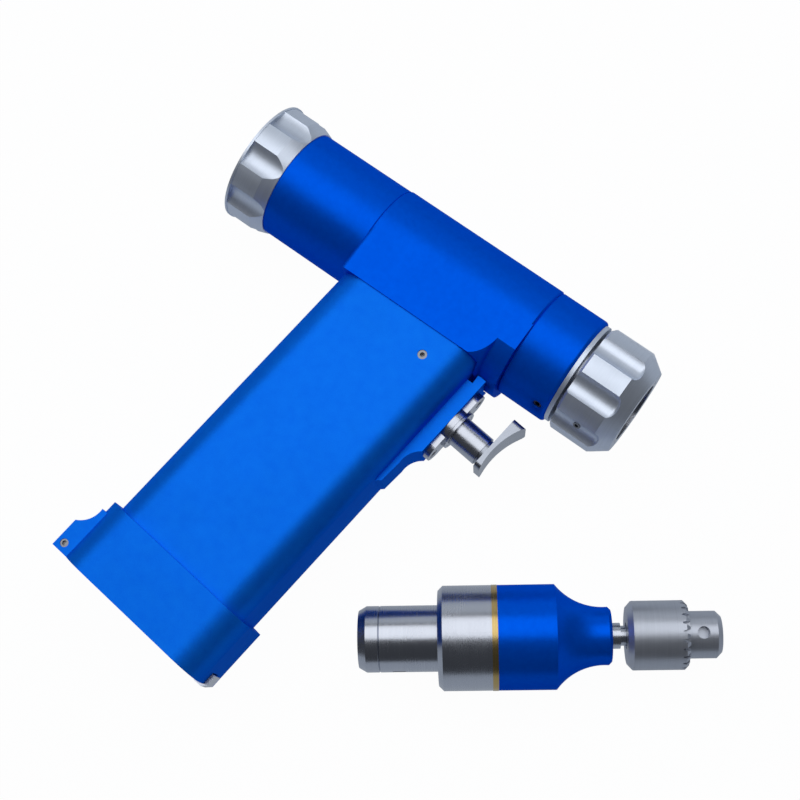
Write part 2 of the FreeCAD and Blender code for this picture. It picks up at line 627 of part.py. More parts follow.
def head_housing():
    """Round above, straight-sided below, with a turned neck in front of the grip and a stepped bore."""
    body = new_body("head_housing")
    flank = outline(
        new_sketch(body, "XY_Plane"),
        (head_rear, 0), (head_rear, S.seam_y), (S.grip_front_x, S.seam_y),
        (S.grip_front_x, -S.neck_r), (nose_rear, -S.neck_r), (nose_rear, 0),
    )
    sweep(body, "Pad", flank, S.head_r * 2, both=True)
    dress(
        body, "Fillet",
        lambda edge: lies(edge, x=head_rear) and edge.BoundBox.YLength > number(S.head_r) / 2,
        S.head_corner_r,
    )
    barrel = outline(
        new_sketch(body, "XY_Plane"),
        (head_rear, 0), (nose_rear, 0), (nose_rear, S.head_r - S.head_edge),
        (nose_rear - S.head_edge, S.head_r), (head_rear + S.head_edge, S.head_r),
        (head_rear, S.head_r - S.head_edge),
    )
    spin(body, "Revolution", barrel)
    below = S.seam_y - S.head_r
    seam = outline(
        new_sketch(body, "XY_Plane"),
        (head_rear - S.air, below), (S.grip_front_x, below), (S.grip_front_x, S.seam_y),
        (head_rear - S.air, S.seam_y),
    )
    sweep(body, "Pocket", seam, both=True)
    flare = neck_ridge - S.neck_round_length
    neck = outline(
        new_sketch(body, "XY_Plane"),
        (nose_rear + S.air, S.neck_r), (nose_rear + S.air, S.neck_r * 2), (flare, S.neck_r * 2),
        (flare, S.neck_r + S.neck_round_rise), (neck_ridge, S.neck_r, S.neck_round_r, RIGHT),
    )
    spin(body, "Groove", neck)
    spigot_front = nose_rear - S.spigot_length
    spigot_rear = head_rear + S.spigot_length
    gear_space = spigot_front - S.bearing_seat_length
    inside = outline(
        new_sketch(body, "XY_Plane"),
        (head_rear - S.air, 0), (nose_rear + S.air, 0), (nose_rear + S.air, thread_r),
        (spigot_front, thread_r), (spigot_front, seat_r), (gear_space, seat_r), (gear_space, bore_r),
        (spigot_rear, bore_r), (spigot_rear, thread_r), (head_rear - S.air, thread_r),
    )
    spin(body, "Groove", inside)
    middle = S.grip_front_x - S.grip_depth / 2
    reach, width = S.cable_hole_length / 2, S.cable_hole_width / 2
    passage = outline(
        new_sketch(body, "XZ_Plane"),
        (middle - reach, -width), (middle + reach, -width), (middle + reach, width), (middle - reach, width),
    )
    sweep(body, "Pocket", passage, S.neck_r * 2, flip=True)


def barrel_housings():
    """The housings fore and aft of the head."""
    lip = S.seal_groove
    lathe(
        "rear_barrel",
        (head_rear + S.spigot_length, bore_r), (head_rear + S.spigot_length, spigot_r),
        (head_rear, spigot_r), (head_rear, S.barrel_r), (tube_rear, S.barrel_r), (tube_rear, spigot_r),
        (tube_rear - lip, spigot_r), (tube_rear - lip, spigot_r - lip),
        (tube_rear - lip * 3, spigot_r - lip), (tube_rear - lip * 3, spigot_r),
        (cap_floor + S.air, spigot_r), (cap_floor + S.air, bore_r),
    )
    tube(
        "cap_seal", tube_rear - lip * 2.9, tube_rear - lip * 1.1,
        spigot_r - lip + S.fit, spigot_r - S.fit,
    )
    land_r = S.cap_r - S.cap_step
    lip_front = cap_rear + S.cap_lip
    cap = lathe(
        "rear_cap",
        (tube_rear - S.fit, spigot_r + S.run), (tube_rear - S.fit, S.cap_front_r),
        (tube_rear - S.cap_front_bevel, land_r), (lip_front, land_r), (lip_front, S.cap_r),
        (cap_rear + S.head_edge, S.cap_r), (cap_rear, S.cap_r - S.cap_bevel), (cap_rear, 0),
        (cap_floor, 0), (cap_floor, spigot_r + S.run), placement=turned_on_x(S.cap_flute_phase),
    )
    flute_cut(
        cap, land_r - S.cap_flute_depth + S.cap_flute_r,
        (lip_front, 0), (tube_rear + S.air, 0),
        (tube_rear + S.air, S.cap_flute_r), (lip_front, S.cap_flute_r),
    )
    nose = lathe(
        "nose_housing",
        (nose_rear - S.spigot_length, seat_r), (nose_rear - S.spigot_length, spigot_r),
        (nose_rear, spigot_r), (nose_rear, S.barrel_r - S.head_edge), (nose_rear + S.head_edge, S.barrel_r),
        (nose_front - S.nose_round, S.barrel_r),
        (nose_front, S.barrel_r - S.nose_round, S.nose_round, RIGHT),
        (nose_front, nose_bore_r), (sleeve_rear, nose_bore_r), (sleeve_rear, seat_r),
    )
    screw_r = S.barrel_r - S.set_screw_length
    screws = []
    for turn in (0, 180):
        way = radial(S.nose_screw_angle + turn)
        spot = FreeCAD.Vector(number(S.nose_screw_x), 0, 0) + way * number(screw_r)
        bore(nose, S.set_screw_r + S.fit, S.set_screw_length * 2, spot, way)
        screw = hex_screw(S.set_screw_r, S.set_screw_length - S.air, S.set_screw_hex)
        screw.Placement = aim(spot, way)
        screws.append(screw)
    solid_part("nose_screws", Part.makeCompound(screws))
    ring_r = S.barrel_r - S.head_edge * 2
    tube("nose_ring", nose_front, nose_front + S.nose_ring_width, sleeve_r + S.air, ring_r)


def coupling():
    """The socket for attachments: fixed sleeve, locking pins and the sprung collar that works them."""
    edge = S.socket_edge
    sleeve = lathe(
        "coupling_sleeve",
        (sleeve_rear, S.spindle_seal_r), (socket_floor, S.spindle_seal_r),
        (socket_floor, S.socket_r + S.socket_relief),
        (-S.socket_fit_length, S.socket_r + S.socket_relief), (-S.socket_fit_length, S.socket_r),
        (0, S.socket_r),
        (0, S.mouth_r - S.run * 2), (socket_front, S.mouth_r - S.run * 2), (socket_front, sleeve_r),
        (nose_front, sleeve_r), (nose_front, nose_bore_r - S.fit), (sleeve_rear, nose_bore_r - S.fit),
    )
    for index in range(int(number(S.lock_pin_count))):
        way = radial(S.lock_pin_angle + index * 360 / number(S.lock_pin_count))
        spot = FreeCAD.Vector(number(S.lock_pin_x), 0, 0)
        bore(sleeve, S.lock_pin_r + S.run, sleeve_r + S.air, spot, way)
        pin = Part.makeCylinder(number(S.lock_pin_r), number(S.lock_pin_length))
        pin = pin.makeFillet(number(S.lock_pin_r) / 2, [e for e in pin.Edges if e.BoundBox.ZMax < 0.01])
        start = spot + way * number(S.socket_r + S.run)
        solid_part(f"lock_pin_{index + 1}", pin, aim(start, way))
    shoulder = socket_front - S.collar_bearing_length
    collar_bore = sleeve_r + S.run
    face = socket_front + S.air
    collar = lathe(
        "front_collar",
        (0, S.mouth_r), (0, S.collar_face_r), (-S.collar_bevel_length, S.barrel_r),
        (collar_rear + edge, S.barrel_r), (collar_rear, S.barrel_r - edge),
        (collar_rear, S.collar_cavity_r), (shoulder, S.collar_cavity_r), (shoulder, collar_bore),
        (face, collar_bore), (face, S.mouth_r), placement=turned_on_x(S.flute_phase),
    )
    way = radial(S.collar_screw_angle)
    low = S.collar_cavity_r + S.air
    spot = FreeCAD.Vector(number(S.collar_screw_x), 0, 0) + way * number(low)
    local = collar.Placement.inverse()
    bore(collar, S.collar_screw_r + S.fit, S.barrel_r, local * (spot - way), local * way)
    behind, ahead = collar_rear - S.air, -S.collar_flute_end
    flute_cut(
        collar, S.barrel_r - S.flute_depth + S.flute_r,
        (behind, 0), (ahead, 0), (ahead, S.flute_r - S.flute_end_r),
        (ahead - S.flute_end_r, S.flute_r, S.flute_end_r, LEFT), (behind, S.flute_r),
    )
    reach = S.barrel_r - S.flute_depth - low + S.air
    solid_part("collar_screw", hex_screw(S.collar_screw_r, reach, S.collar_screw_hex), aim(spot, way))
    coil_r = (sleeve_r + S.collar_cavity_r) / 2
    first = nose_front + S.nose_ring_width + S.coil_r + S.air
    length = shoulder - first - S.coil_r - S.air
    coil = helix(coil_r, S.coil_r, length, S.collar_coils)
    solid_part("collar_spring", coil, aim(FreeCAD.Vector(number(first), 0, 0), FreeCAD.Vector(1, 0, 0)))


def helix(radius, wire, length, turns):
    """A coil spring of square wire along +z from 0."""
    path = Part.makeHelix(number(length) / number(turns), number(length), number(radius))
    corner = [math.radians(90 * index + 45) for index in range(5)]
    across = number(wire) * math.sqrt(2)
    section = Part.makePolygon([
        FreeCAD.Vector(number(radius) + across * math.cos(a), 0, across * math.sin(a)) for a in corner
    ])
    return Part.Wire(path).makePipeShell([section], True, True)


def motor():
    """The motor in the barrel and the line of shafts to the socket."""
    rear, front = motor_rear, motor_front
    deep = S.bell + S.bearing_width
    seat = S.bearing_r + S.fit
    room = S.motor_r - S.can_wall
    lathe(
        "motor_can",
        (rear, S.shaft_r * 1.5), (rear, S.motor_r), (front, S.motor_r), (front, S.shaft_r * 1.5),
        (front - S.bell, S.shaft_r * 1.5), (front - S.bell, seat), (front - deep, seat),
        (front - deep, room), (rear + deep, room), (rear + deep, seat), (rear + S.bell, seat),
        (rear + S.bell, S.shaft_r * 1.5),
    )
    gap = S.rotor_r + S.rotor_gap
    tube("motor_stator", rear + deep + S.winding_gap, front - deep - S.winding_gap, gap, room - S.fit)
    inner = S.shaft_r + S.run
    bearings = [
        ring_shape(rear + S.bell, rear + deep, inner, S.bearing_r),
        ring_shape(front - deep, front - S.bell, inner, S.bearing_r),
    ]
    solid_part("motor_bearings", Part.makeCompound(bearings))
    core_rear, core_front = rear + deep + S.winding_gap, front - deep - S.winding_gap
    lathe(
        "motor_rotor",
        (rear + S.air, 0), (front + S.shaft_out, 0), (front + S.shaft_out, S.shaft_r),
        (core_front, S.shaft_r), (core_front, S.rotor_r), (core_rear, S.rotor_r),
        (core_rear, S.shaft_r), (rear + S.air, S.shaft_r),
    )
    hub_rear = front + S.bell
    hub_front = hub_rear + S.hub_length
    split = front + S.shaft_out + S.air
    hub = lathe(
        "shaft_coupling",
        (hub_rear, S.shaft_r + S.fit), (hub_rear, S.hub_r), (hub_front, S.hub_r),
        (hub_front, S.spindle_r + S.fit), (split, S.spindle_r + S.fit), (split, S.shaft_r + S.fit),
    )
    for x in (hub_rear + S.hub_length / 5, hub_front - S.hub_length / 5):
        spot = FreeCAD.Vector(number(x), 0, number(S.spindle_r))
        bore(hub, S.set_screw_r, S.hub_r, spot, FreeCAD.Vector(0, 0, 1))
    spindle = lathe(
        "spindle",
        (S.spindle_rear, 0), (S.spindle_front, 0), (S.spindle_front, S.spindle_r - S.head_edge),
        (S.spindle_front - S.head_edge, S.spindle_r), (S.spindle_rear, S.spindle_r),
    )
    slot = outline(
        new_sketch(spindle, "XY_Plane"),
        (S.spindle_front - S.drive_slot_depth, -S.drive_slot_width / 2),
        (S.spindle_front + S.air, -S.drive_slot_width / 2),
        (S.spindle_front + S.air, S.drive_slot_width / 2),
        (S.spindle_front - S.drive_slot_depth, S.drive_slot_width / 2),
    )
    sweep(spindle, "Pocket", slot, both=True)
    front_bearing = sleeve_rear - S.air - S.spindle_bearing_width
    rear_bearing = nose_rear - S.spigot_length - S.spindle_bearing_width * 2
    inner = S.spindle_r + S.run
    bearings = [
        ring_shape(x, x + S.spindle_bearing_width, inner, S.spindle_bearing_r)
        for x in (front_bearing, rear_bearing)
    ]
    solid_part("spindle_bearings", Part.makeCompound(bearings))
    tube("spindle_seal", sleeve_rear + S.air, socket_floor - S.air, inner, S.spindle_seal_r - S.fit)


def ring_shape(x0, x1, inner, outer):
    """A plain ring about the x axis."""
    start = FreeCAD.Vector(number(x0), 0, 0)
    way = FreeCAD.Vector(1, 0, 0)
    long = number(x1) - number(x0)
    return cylinder(outer, long, start, way).cut(cylinder(inner, long, start, way))


# Grip
grip_back = -S.grip_depth
inner_back, inner_front = grip_back + S.grip_wall, -S.grip_wall
inner_half = S.grip_half - S.grip_wall
inner_corner = S.grip_corner_r - S.grip_wall
ring_end = S.ring_top + S.ring_height
ring_back, ring_front = grip_back - S.ring_proud, S.ring_proud
bush_r = S.plunger_r + S.run + S.bush_wall
hinge_s = ring_end - S.hinge_up
hinge_t = ring_back - S.lug_out + S.hinge_in
trigger_frame = moved(grip_place, z=S.trigger_s)
UP = FreeCAD.Vector(0, 1, 0)


def seam_cut(body):
    """Cut the top of a grip piece along the plane under the head."""
    slope = turned(S.lean, "tan")
    far = S.grip_depth * 2
    wedge = outline(
        new_sketch(body, "XZ_Plane"),
        (far, -far * slope), (-far, far * slope), (-far, -far), (far, -far),
    )
    sweep(body, "Pocket", wedge, both=True)


def build_grip():
    """The hollow grip and the tenon that holds it to the head."""
    shell = new_body("grip_shell", grip_place)
    start = S.grip_wall
    outer = rounded_box(
        new_sketch(shell, "XY_Plane", -start), grip_back, 0, S.grip_half, S.grip_corner_r,
    )
    sweep(shell, "Pad", outer, S.grip_length + start)
    inner = rounded_box(new_sketch(shell, "XY_Plane"), inner_back, inner_front, inner_half, inner_corner)
    sweep(shell, "Pocket", inner, both=True)
    seam_cut(shell)
    screw = circle(new_sketch(shell, "XZ_Plane"), -S.grip_screw_t, S.grip_screw_s, S.set_screw_r + S.fit)
    sweep(shell, "Pocket", screw, both=True)
    spot = FreeCAD.Vector(number(inner_front - S.air), 0, number(S.trigger_s))
    bore(shell, bush_r + S.fit, S.grip_wall * 2, spot, FreeCAD.Vector(1, 0, 0))
    tenon = new_body("grip_tenon", grip_place)
    front, back = -S.tenon_front, inner_back + S.fit
    half = inner_half - S.fit
    outer = rounded_box(new_sketch(tenon, "XY_Plane", -start), back, front, half, inner_corner)
    sweep(tenon, "Pad", outer, S.tenon_length + start)
    inner = rounded_box(
        new_sketch(tenon, "XY_Plane"), back + S.tenon_wall, front - S.tenon_wall, half - S.tenon_wall,
        inner_corner / 2,
    )
    sweep(tenon, "Pocket", inner, both=True)
    slot = outline(
        new_sketch(tenon, "XY_Plane"),
        (front - S.tenon_wall * 2, -S.plunger_stop_r - 1), (front + 1, -S.plunger_stop_r - 1),
        (front + 1, S.plunger_stop_r + 1), (front - S.tenon_wall * 2, S.plunger_stop_r + 1),
    )
    sweep(tenon, "Pocket", slot, both=True)
    seam_cut(tenon)
    hole = circle(new_sketch(tenon, "XZ_Plane"), -S.grip_screw_t, S.grip_screw_s, S.set_screw_r + S.fit)
    sweep(tenon, "Pocket", hole, both=True)
    screws = []
    for side in (1, -1):
        low = (S.grip_half - S.set_screw_length) * side
        spot = FreeCAD.Vector(number(-S.grip_screw_t), number(low), number(S.grip_screw_s))
        screw = hex_screw(S.set_screw_r, S.set_screw_length - S.air, S.set_screw_hex)
        screw.Placement = aim(spot, UP * side)
        screws.append(screw)
    solid_part("grip_screws", Part.makeCompound(screws), grip_place)


def battery_end():
    """The ring at the grip's foot with its hinged, latched lid, and the battery that it holds."""
    ring = new_body("battery_ring", grip_place)
    corner = S.grip_corner_r + S.ring_proud / 2
    outer = rounded_box(new_sketch(ring, "XY_Plane", S.ring_top), ring_back, ring_front, S.ring_half, corner)
    sweep(ring, "Pad", outer, S.ring_height)
    lug_top = ring_end - S.lug_height
    lug_back = ring_back - S.lug_out
    lug = outline(
        new_sketch(ring, "XZ_Plane"),
        (ring_back + S.lug_out, ring_end), (lug_back, ring_end), (lug_back, lug_top),
        (ring_back, lug_top - S.lug_notch_rise, S.lug_notch_r, RIGHT),
        (ring_back + S.lug_out, lug_top - S.lug_notch_rise),
    )
    sweep(ring, "Pad", lug, S.lug_half * 2, both=True)
    seat = rounded_box(
        new_sketch(ring, "XY_Plane", S.grip_length), grip_back - S.fit, S.fit, S.grip_half + S.fit,
        S.grip_corner_r + S.fit,
    )
    sweep(ring, "Pocket", seat)
    mouth_back, mouth_front = ring_back + S.ring_wall, ring_front - S.ring_wall
    mouth_half = S.ring_half - S.ring_wall
    mouth_corner = corner - S.ring_wall
    mouth = rounded_box(new_sketch(ring, "XY_Plane"), mouth_back, mouth_front, mouth_half, mouth_corner)
    sweep(ring, "Pocket", mouth, both=True)
    knuckle_top = hinge_s - S.knuckle_r - S.knuckle_room
    wide = S.knuckle_half + S.air
    gate = outline(
        new_sketch(ring, "XY_Plane", knuckle_top),
        (lug_back - 1, -wide), (mouth_back + 1, -wide), (mouth_back + 1, wide), (lug_back - 1, wide),
    )
    sweep(ring, "Pocket", gate, flip=True)
    pin = circle(new_sketch(ring, "XZ_Plane"), hinge_t, hinge_s, S.hinge_pin_r + S.fit)
    sweep(ring, "Pocket", pin, both=True)
    latch_half = S.latch_width / 2
    latch_top = ring_end + S.latch_proud - S.latch_height
    slot = outline(
        new_sketch(ring, "XY_Plane", latch_top - S.air),
        (mouth_front - 1, -latch_half - S.air), (ring_front + 1, -latch_half - S.air),
        (ring_front + 1, latch_half + S.air), (mouth_front - 1, latch_half + S.air),
    )
    sweep(ring, "Pocket", slot, flip=True)

    lid = new_body("battery_lid", grip_place)
    lid_top = ring_end - S.lid_thickness
    lid_back = mouth_back + S.lid_back_gap
    plate = rounded_box(
        new_sketch(lid, "XY_Plane", lid_top), lid_back, mouth_front - S.air, mouth_half - S.air,
        mouth_corner - S.air,
    )
    sweep(lid, "Pad", plate, S.lid_thickness)
    arm = outline(
        new_sketch(lid, "XZ_Plane"),
        (hinge_t, ring_end - S.air), (hinge_t, lid_top), (lid_back + S.lid_back_gap, lid_top),
        (lid_back + S.lid_back_gap, ring_end - S.air),
    )
    sweep(lid, "Pad", arm, S.knuckle_half * 2, both=True)
    knuckle = circle(new_sketch(lid, "XZ_Plane"), hinge_t, hinge_s, S.knuckle_r)
    sweep(lid, "Pad", knuckle, S.knuckle_half * 2, both=True)
    hole = circle(new_sketch(lid, "XZ_Plane"), hinge_t, hinge_s, S.hinge_pin_r + S.run)
    sweep(lid, "Pocket", hole, both=True)
    rear = mouth_front - S.latch_length
    gate = outline(
        new_sketch(lid, "XY_Plane"),
        (rear - S.latch_travel - S.air, -latch_half - S.run), (ring_front, -latch_half - S.run),
        (ring_front, latch_half + S.run), (rear - S.latch_travel - S.air, latch_half + S.run),
    )
    sweep(lid, "Pocket", gate, both=True)

    latch = new_body("lid_latch", grip_place)
    tip = ring_front + S.latch_proud
    foot = ring_end + S.latch_proud
    side = outline(
        new_sketch(latch, "XZ_Plane"),
        (rear, latch_top), (tip, latch_top), (tip, foot - S.latch_bevel), (tip - S.latch_bevel, foot),
        (mouth_front, foot), (mouth_front, ring_end - S.air), (rear, ring_end - S.air),
    )
    sweep(latch, "Pad", side, S.latch_width, both=True)
    seal = new_body("lid_seal", grip_place)
    edge = S.seal_width / 2
    outer = rounded_box(
        new_sketch(seal, "XY_Plane", lid_top - S.seal_thickness),
        lid_back + edge, rear - S.latch_travel - edge,
        mouth_half - S.air - edge, mouth_corner - edge,
    )
    sweep(seal, "Pad", outer, S.seal_thickness)
    hole = rounded_box(
        new_sketch(seal, "XY_Plane"), lid_back + edge + S.seal_width,
        rear - S.latch_travel - edge - S.seal_width, mouth_half - S.air - edge - S.seal_width,
        mouth_corner - edge - S.seal_width,
    )
    sweep(seal, "Pocket", hole, both=True)
    length = S.lug_half - S.air
    pin = cylinder(S.hinge_pin_r, length * 2, FreeCAD.Vector(0, -number(length), 0), UP)
    for side in (1, -1):
        socket = hexagon_prism(S.set_screw_hex, S.hinge_pin_r)
        socket.Placement = aim(FreeCAD.Vector(0, side * number(length - S.hinge_pin_r), 0), UP * side)
        pin = pin.cut(socket)
    solid_part("lid_hinge_pin", pin, moved(grip_place, hinge_t, 0, hinge_s))

    battery = new_body("battery_pack", grip_place)
    gap = S.battery_gap
    bottom = lid_top - S.seal_thickness - gap
    case = rounded_box(
        new_sketch(battery, "XY_Plane", S.battery_top), inner_back + gap, inner_front - gap, inner_half - gap,
        inner_corner - gap,
    )
    sweep(battery, "Pad", case, bottom - S.battery_top)
    contacts = new_sketch(battery, "XY_Plane", S.battery_top)
    middle = grip_back / 2
    for step in (-1, 0, 1):
        x = middle + S.contact_pitch * step
        outline(
            contacts, (x - S.contact_width, -S.contact_width), (x + S.contact_width, -S.contact_width),
            (x + S.contact_width, S.contact_width), (x - S.contact_width, S.contact_width),
        )
    sweep(battery, "Pocket", contacts, S.contact_width / 2, flip=True)


def hexagon_prism(key, depth):
    """A hexagonal prism along +z, key wide across its flats."""
    across = number(key) / math.sqrt(3)
    turns = [math.radians(60 * index) for index in range(7)]
    edge = Part.makePolygon([FreeCAD.Vector(across * math.cos(a), across * math.sin(a), 0) for a in turns])
    return Part.Face(edge).extrude(FreeCAD.Vector(0, 0, number(depth) * 1.5))


def box(x0, x1, y0, y1, z0, z1):
    """A plain box between limits."""
    low = FreeCAD.Vector(number(x0), number(y0), number(z0))
    return Part.makeBox(number(x1) - number(x0), number(y1) - number(y0), number(z1) - number(z0), low)


def electronics():
    """The circuit between trigger and battery."""
    board_s = S.board_s
    back, front = inner_back + S.air * 3, -S.board_front
    half = S.board_half
    board = box(back, front, -half, half, board_s, board_s + S.board_thickness)
    pitch, tall = S.chip_pitch, S.chip_height
    for column, row in ((0, -1), (0, 1), (1, -1), (1, 1)):
        x = back + pitch * (column + 0.5)
        y = pitch * row / 2
        size = S.chip_size / (1 + column)
        board = board.fuse(box(x - size, x + size, y - size, y + size, board_s - tall, board_s))
    solid_part("control_board", board.removeSplitter(), grip_place)
    under = board_s + S.board_thickness
    middle = grip_back / 2
    reach = S.contact_pitch + S.contact_width * 2
    foot = under + S.contact_foot
    block = box(middle - reach, middle + reach, -S.contact_width * 2, S.contact_width * 2, under, foot)
    for step in (-1, 0, 1):
        x = middle + S.contact_pitch * step
        w = S.contact_width / 2
        block = block.fuse(box(x - w, x + w, -w, w, foot, S.battery_top - S.air))
    solid_part("battery_contacts", block.removeSplitter(), grip_place)
    seat = S.plunger_in + S.trigger_spring_length
    half = S.switch_half
    switch = box(-seat - S.switch_length, -seat, -half, half, S.trigger_s - half, board_s)
    solid_part("trigger_switch", switch, grip_place)
    coil = helix(S.trigger_coil_r, S.wire_r, S.trigger_spring_length - S.wire_r * 4, S.spring_turns)
    spring_frame = moved(trigger_frame, x=-seat + S.wire_r * 2)
    way = FreeCAD.Placement(FreeCAD.Vector(), FreeCAD.Rotation(FreeCAD.Vector(0, 1, 0), 90))
    solid_part("trigger_spring", coil, spring_frame * way)


def trigger():
    """The trigger: block and flange on the grip's front, and the plunger with its finger plate."""
    along = FreeCAD.Vector(1, 0, 0)
    block = new_body("trigger_block", grip_place)
    side = outline(
        new_sketch(block, "XZ_Plane"),
        (0, S.trigger_block_top), (S.trigger_block_out, S.trigger_block_top),
        (S.trigger_block_out, S.scoop_start),
        (S.trigger_block_tip + S.scoop_step, S.scoop_end, S.scoop_r, RIGHT),
        (S.trigger_block_tip, S.trigger_block_end - S.trigger_block_tip),
        (0, S.trigger_block_end),
    )
    sweep(block, "Pad", side, S.trigger_block_half * 2, both=True)
    rear = S.grip_front_x - S.trigger_block_out
    shoulder_r = S.neck_r + S.neck_round_rise / 2
    for radius, front in ((shoulder_r, neck_ridge), (S.neck_r, nose_rear)):
        neck_cut = block.newObject("PartDesign::SubtractiveCylinder", "trigger_block_neck")
        neck_cut.Placement = grip_place.inverse() * aim(FreeCAD.Vector(number(rear), 0, 0), along)
        bind(neck_cut, "Radius", radius + S.air)
        bind(neck_cut, "Height", front + S.air - rear)
    hole_r = bush_r + S.fit
    bore(block, hole_r, S.trigger_block_out * 2, FreeCAD.Vector(-1, 0, number(S.trigger_s)), along)

    seat = S.trigger_block_out
    flange_front = seat + S.flange_thickness
    boss_front = seat + S.boss_out
    flange = new_body("trigger_flange", grip_place)
    width = S.flange_half
    upper = S.trigger_s - S.flange_reach + width
    lower = S.trigger_s + S.flange_reach - width
    round_r = width * 1.02
    face = outline(
        new_sketch(flange, "YZ_Plane", seat),
        (width, lower), (-width, lower, round_r, LEFT), (-width, upper),
        (width, upper, round_r, LEFT),
    )
    sweep(flange, "Pad", face, S.flange_thickness)
    groove_front = boss_front - S.boss_rim
    for low, high, radius in (
        (seat, boss_front, S.boss_r - S.boss_groove), (seat, groove_front - S.boss_groove, S.boss_r),
        (groove_front, boss_front, S.boss_r),
    ):
        disc = flange.newObject("PartDesign::AdditiveCylinder", "trigger_flange_boss")
        disc.Placement = aim(FreeCAD.Vector(number(low), 0, number(S.trigger_s)), along)
        bind(disc, "Radius", radius)
        bind(disc, "Height", high - low)
    bore(flange, hole_r, S.boss_out * 2, FreeCAD.Vector(number(seat) - 1, 0, number(S.trigger_s)), along)
    screws = []
    head_seat = flange_front - S.flange_screw_head
    for way in (-1, 1):
        s = S.trigger_s + S.flange_screw_pitch * way
        deep = flange_front - S.flange_screw_length
        for body in (flange, block):
            spot = FreeCAD.Vector(number(deep), 0, number(s))
            bore(body, S.flange_screw_r + S.fit, S.flange_screw_length * 2, spot, along)
        rest = FreeCAD.Vector(number(head_seat), 0, number(s))
        bore(flange, S.flange_screw_head_r + S.fit, S.flange_screw_length, rest, along)
        spot = FreeCAD.Vector(number(deep + S.air), 0, number(s))
        screw = cylinder(S.flange_screw_r, head_seat - deep, spot, along)
        head = cylinder(S.flange_screw_head_r, S.flange_screw_head - S.fit, rest, along)
        socket = hexagon_prism(S.set_screw_hex, S.flange_screw_head)
        socket.Placement = aim(rest + along * number(S.flange_screw_head / 2), along)
        screws.append(screw.fuse(head).cut(socket).removeSplitter())
    solid_part("flange_screws", Part.makeCompound(screws), grip_place)
    inner = S.plunger_r + S.run
    rim = boss_front - S.fit
    tube("trigger_bush", -S.bush_inner, rim, inner, bush_r, placement=trigger_frame)
    neck = S.plunger_out - S.plate_neck
    stop = -S.bush_inner - S.air
    lathe(
        "trigger_plunger",
        (-S.plunger_in, 0), (neck, 0), (neck, S.plunger_r), (stop, S.plunger_r),
        (stop, S.plunger_stop_r), (stop - S.plate_neck, S.plunger_stop_r), (stop - S.plate_neck, S.plunger_r),
        (-S.plunger_in, S.plunger_r), placement=trigger_frame,
    )
    plate = new_body("finger_plate", grip_place)
    radius = S.plate_hollow_r
    centre = S.plunger_out + S.plate_thin + radius
    up, down = S.plate_top - S.plate_low, S.plate_end - S.plate_low
    top_tip = centre - root_of(radius * radius - up * up)
    end_tip = centre - root_of(radius * radius - down * down)
    side = outline(
        new_sketch(plate, "XZ_Plane"),
        (top_tip, S.plate_top), (end_tip, S.plate_end, radius, RIGHT),
        (S.plunger_out, S.plate_end), (S.plunger_out, S.plate_top),
    )
    sweep(plate, "Pad", side, S.plate_half * 2, both=True)
    ends = (S.plate_top, S.plate_end)
    dress(
        plate, "Fillet",
        lambda edge: edge.BoundBox.YLength < number(S.fit) and any(lies(edge, z=end) for end in ends),
        S.plate_corner_r,
    )
    root = plate.newObject("PartDesign::AdditiveCylinder", "finger_plate_neck")
    root.Placement = aim(FreeCAD.Vector(number(neck), 0, number(S.trigger_s)), along)
    bind(root, "Radius", S.plunger_r - S.head_edge)
    bind(root, "Height", S.plate_neck * 1.5)


def gear_outline(teeth, addendum, dedendum, play):
    """Points round an involute gear with a tooth centred on the x axis; lengths in millimetres."""
    steps = 3
    pitch = number(S.gear_module) * teeth / 2
    angle = math.radians(number(S.pressure_angle))
    base = pitch * math.cos(angle)
    top, foot = pitch + addendum, pitch - dedendum
    low = max(foot, base * 1.0005)
    half = math.pi / (2 * teeth) - play / (2 * pitch) + math.tan(angle) - angle

    def side(radius):
        roll = math.acos(min(1.0, base / radius))
        return half - math.tan(roll) + roll

    radii = [low + (top - low) * index / steps for index in range(steps + 1)]
    corners = []
    for tooth in range(teeth):
        centre = 2 * math.pi * tooth / teeth
        below = [(foot, centre - side(low))] if foot < low else []
        above = [(foot, centre + side(low))] if foot < low else []
        corners += below + [(radius, centre - side(radius)) for radius in radii]
        corners += [(radius, centre + side(radius)) for radius in reversed(radii)] + above
    return [(radius * math.cos(turn), radius * math.sin(turn)) for radius, turn in corners]


def gear_prism(points, x0, x1, turn=0.0):
    """An outline about the x axis (first axis +y, second +z), turned by degrees, from x0 to x1."""
    angle = math.radians(turn)
    spots = []
    for across, up in points:
        y = across * math.cos(angle) - up * math.sin(angle)
        z = across * math.sin(angle) + up * math.cos(angle)
        spots.append(FreeCAD.Vector(number(x0), y, z))
    edge = Part.makePolygon(spots + spots[:1])
    return Part.Face(edge).extrude(FreeCAD.Vector(number(x1) - number(x0), 0, 0))


# Stations along the attachment, from its seat face
steel_end = S.steel_length
brass_end = steel_end + S.brass_length
cone_start = brass_end + S.cone_straight
cone_front = cone_start + S.cone_length
spindle_front = cone_front + S.cone_nose + S.spindle_step
chuck_rear = spindle_front + S.spindle_groove
sleeve_start = chuck_rear + S.chuck_cone
sleeve_end = sleeve_start + S.sleeve_length
nose_end = sleeve_end + S.chuck_nose_out
planet_orbit = S.gear_module * (S.sun_teeth + S.planet_teeth) / 2
ring_outer = S.gear_module * (S.ring_teeth / 2 + S.gear_dedendum) + S.ring_rim
gear_end = S.gear_start + S.gear_width
carrier_rear = gear_end + S.air * 2
carrier_front = carrier_rear + S.carrier_thickness
body_bore = ring_outer + S.fit
tang_front = S.spindle_front + S.air
AHEAD = FreeCAD.Vector(1, 0, 0)


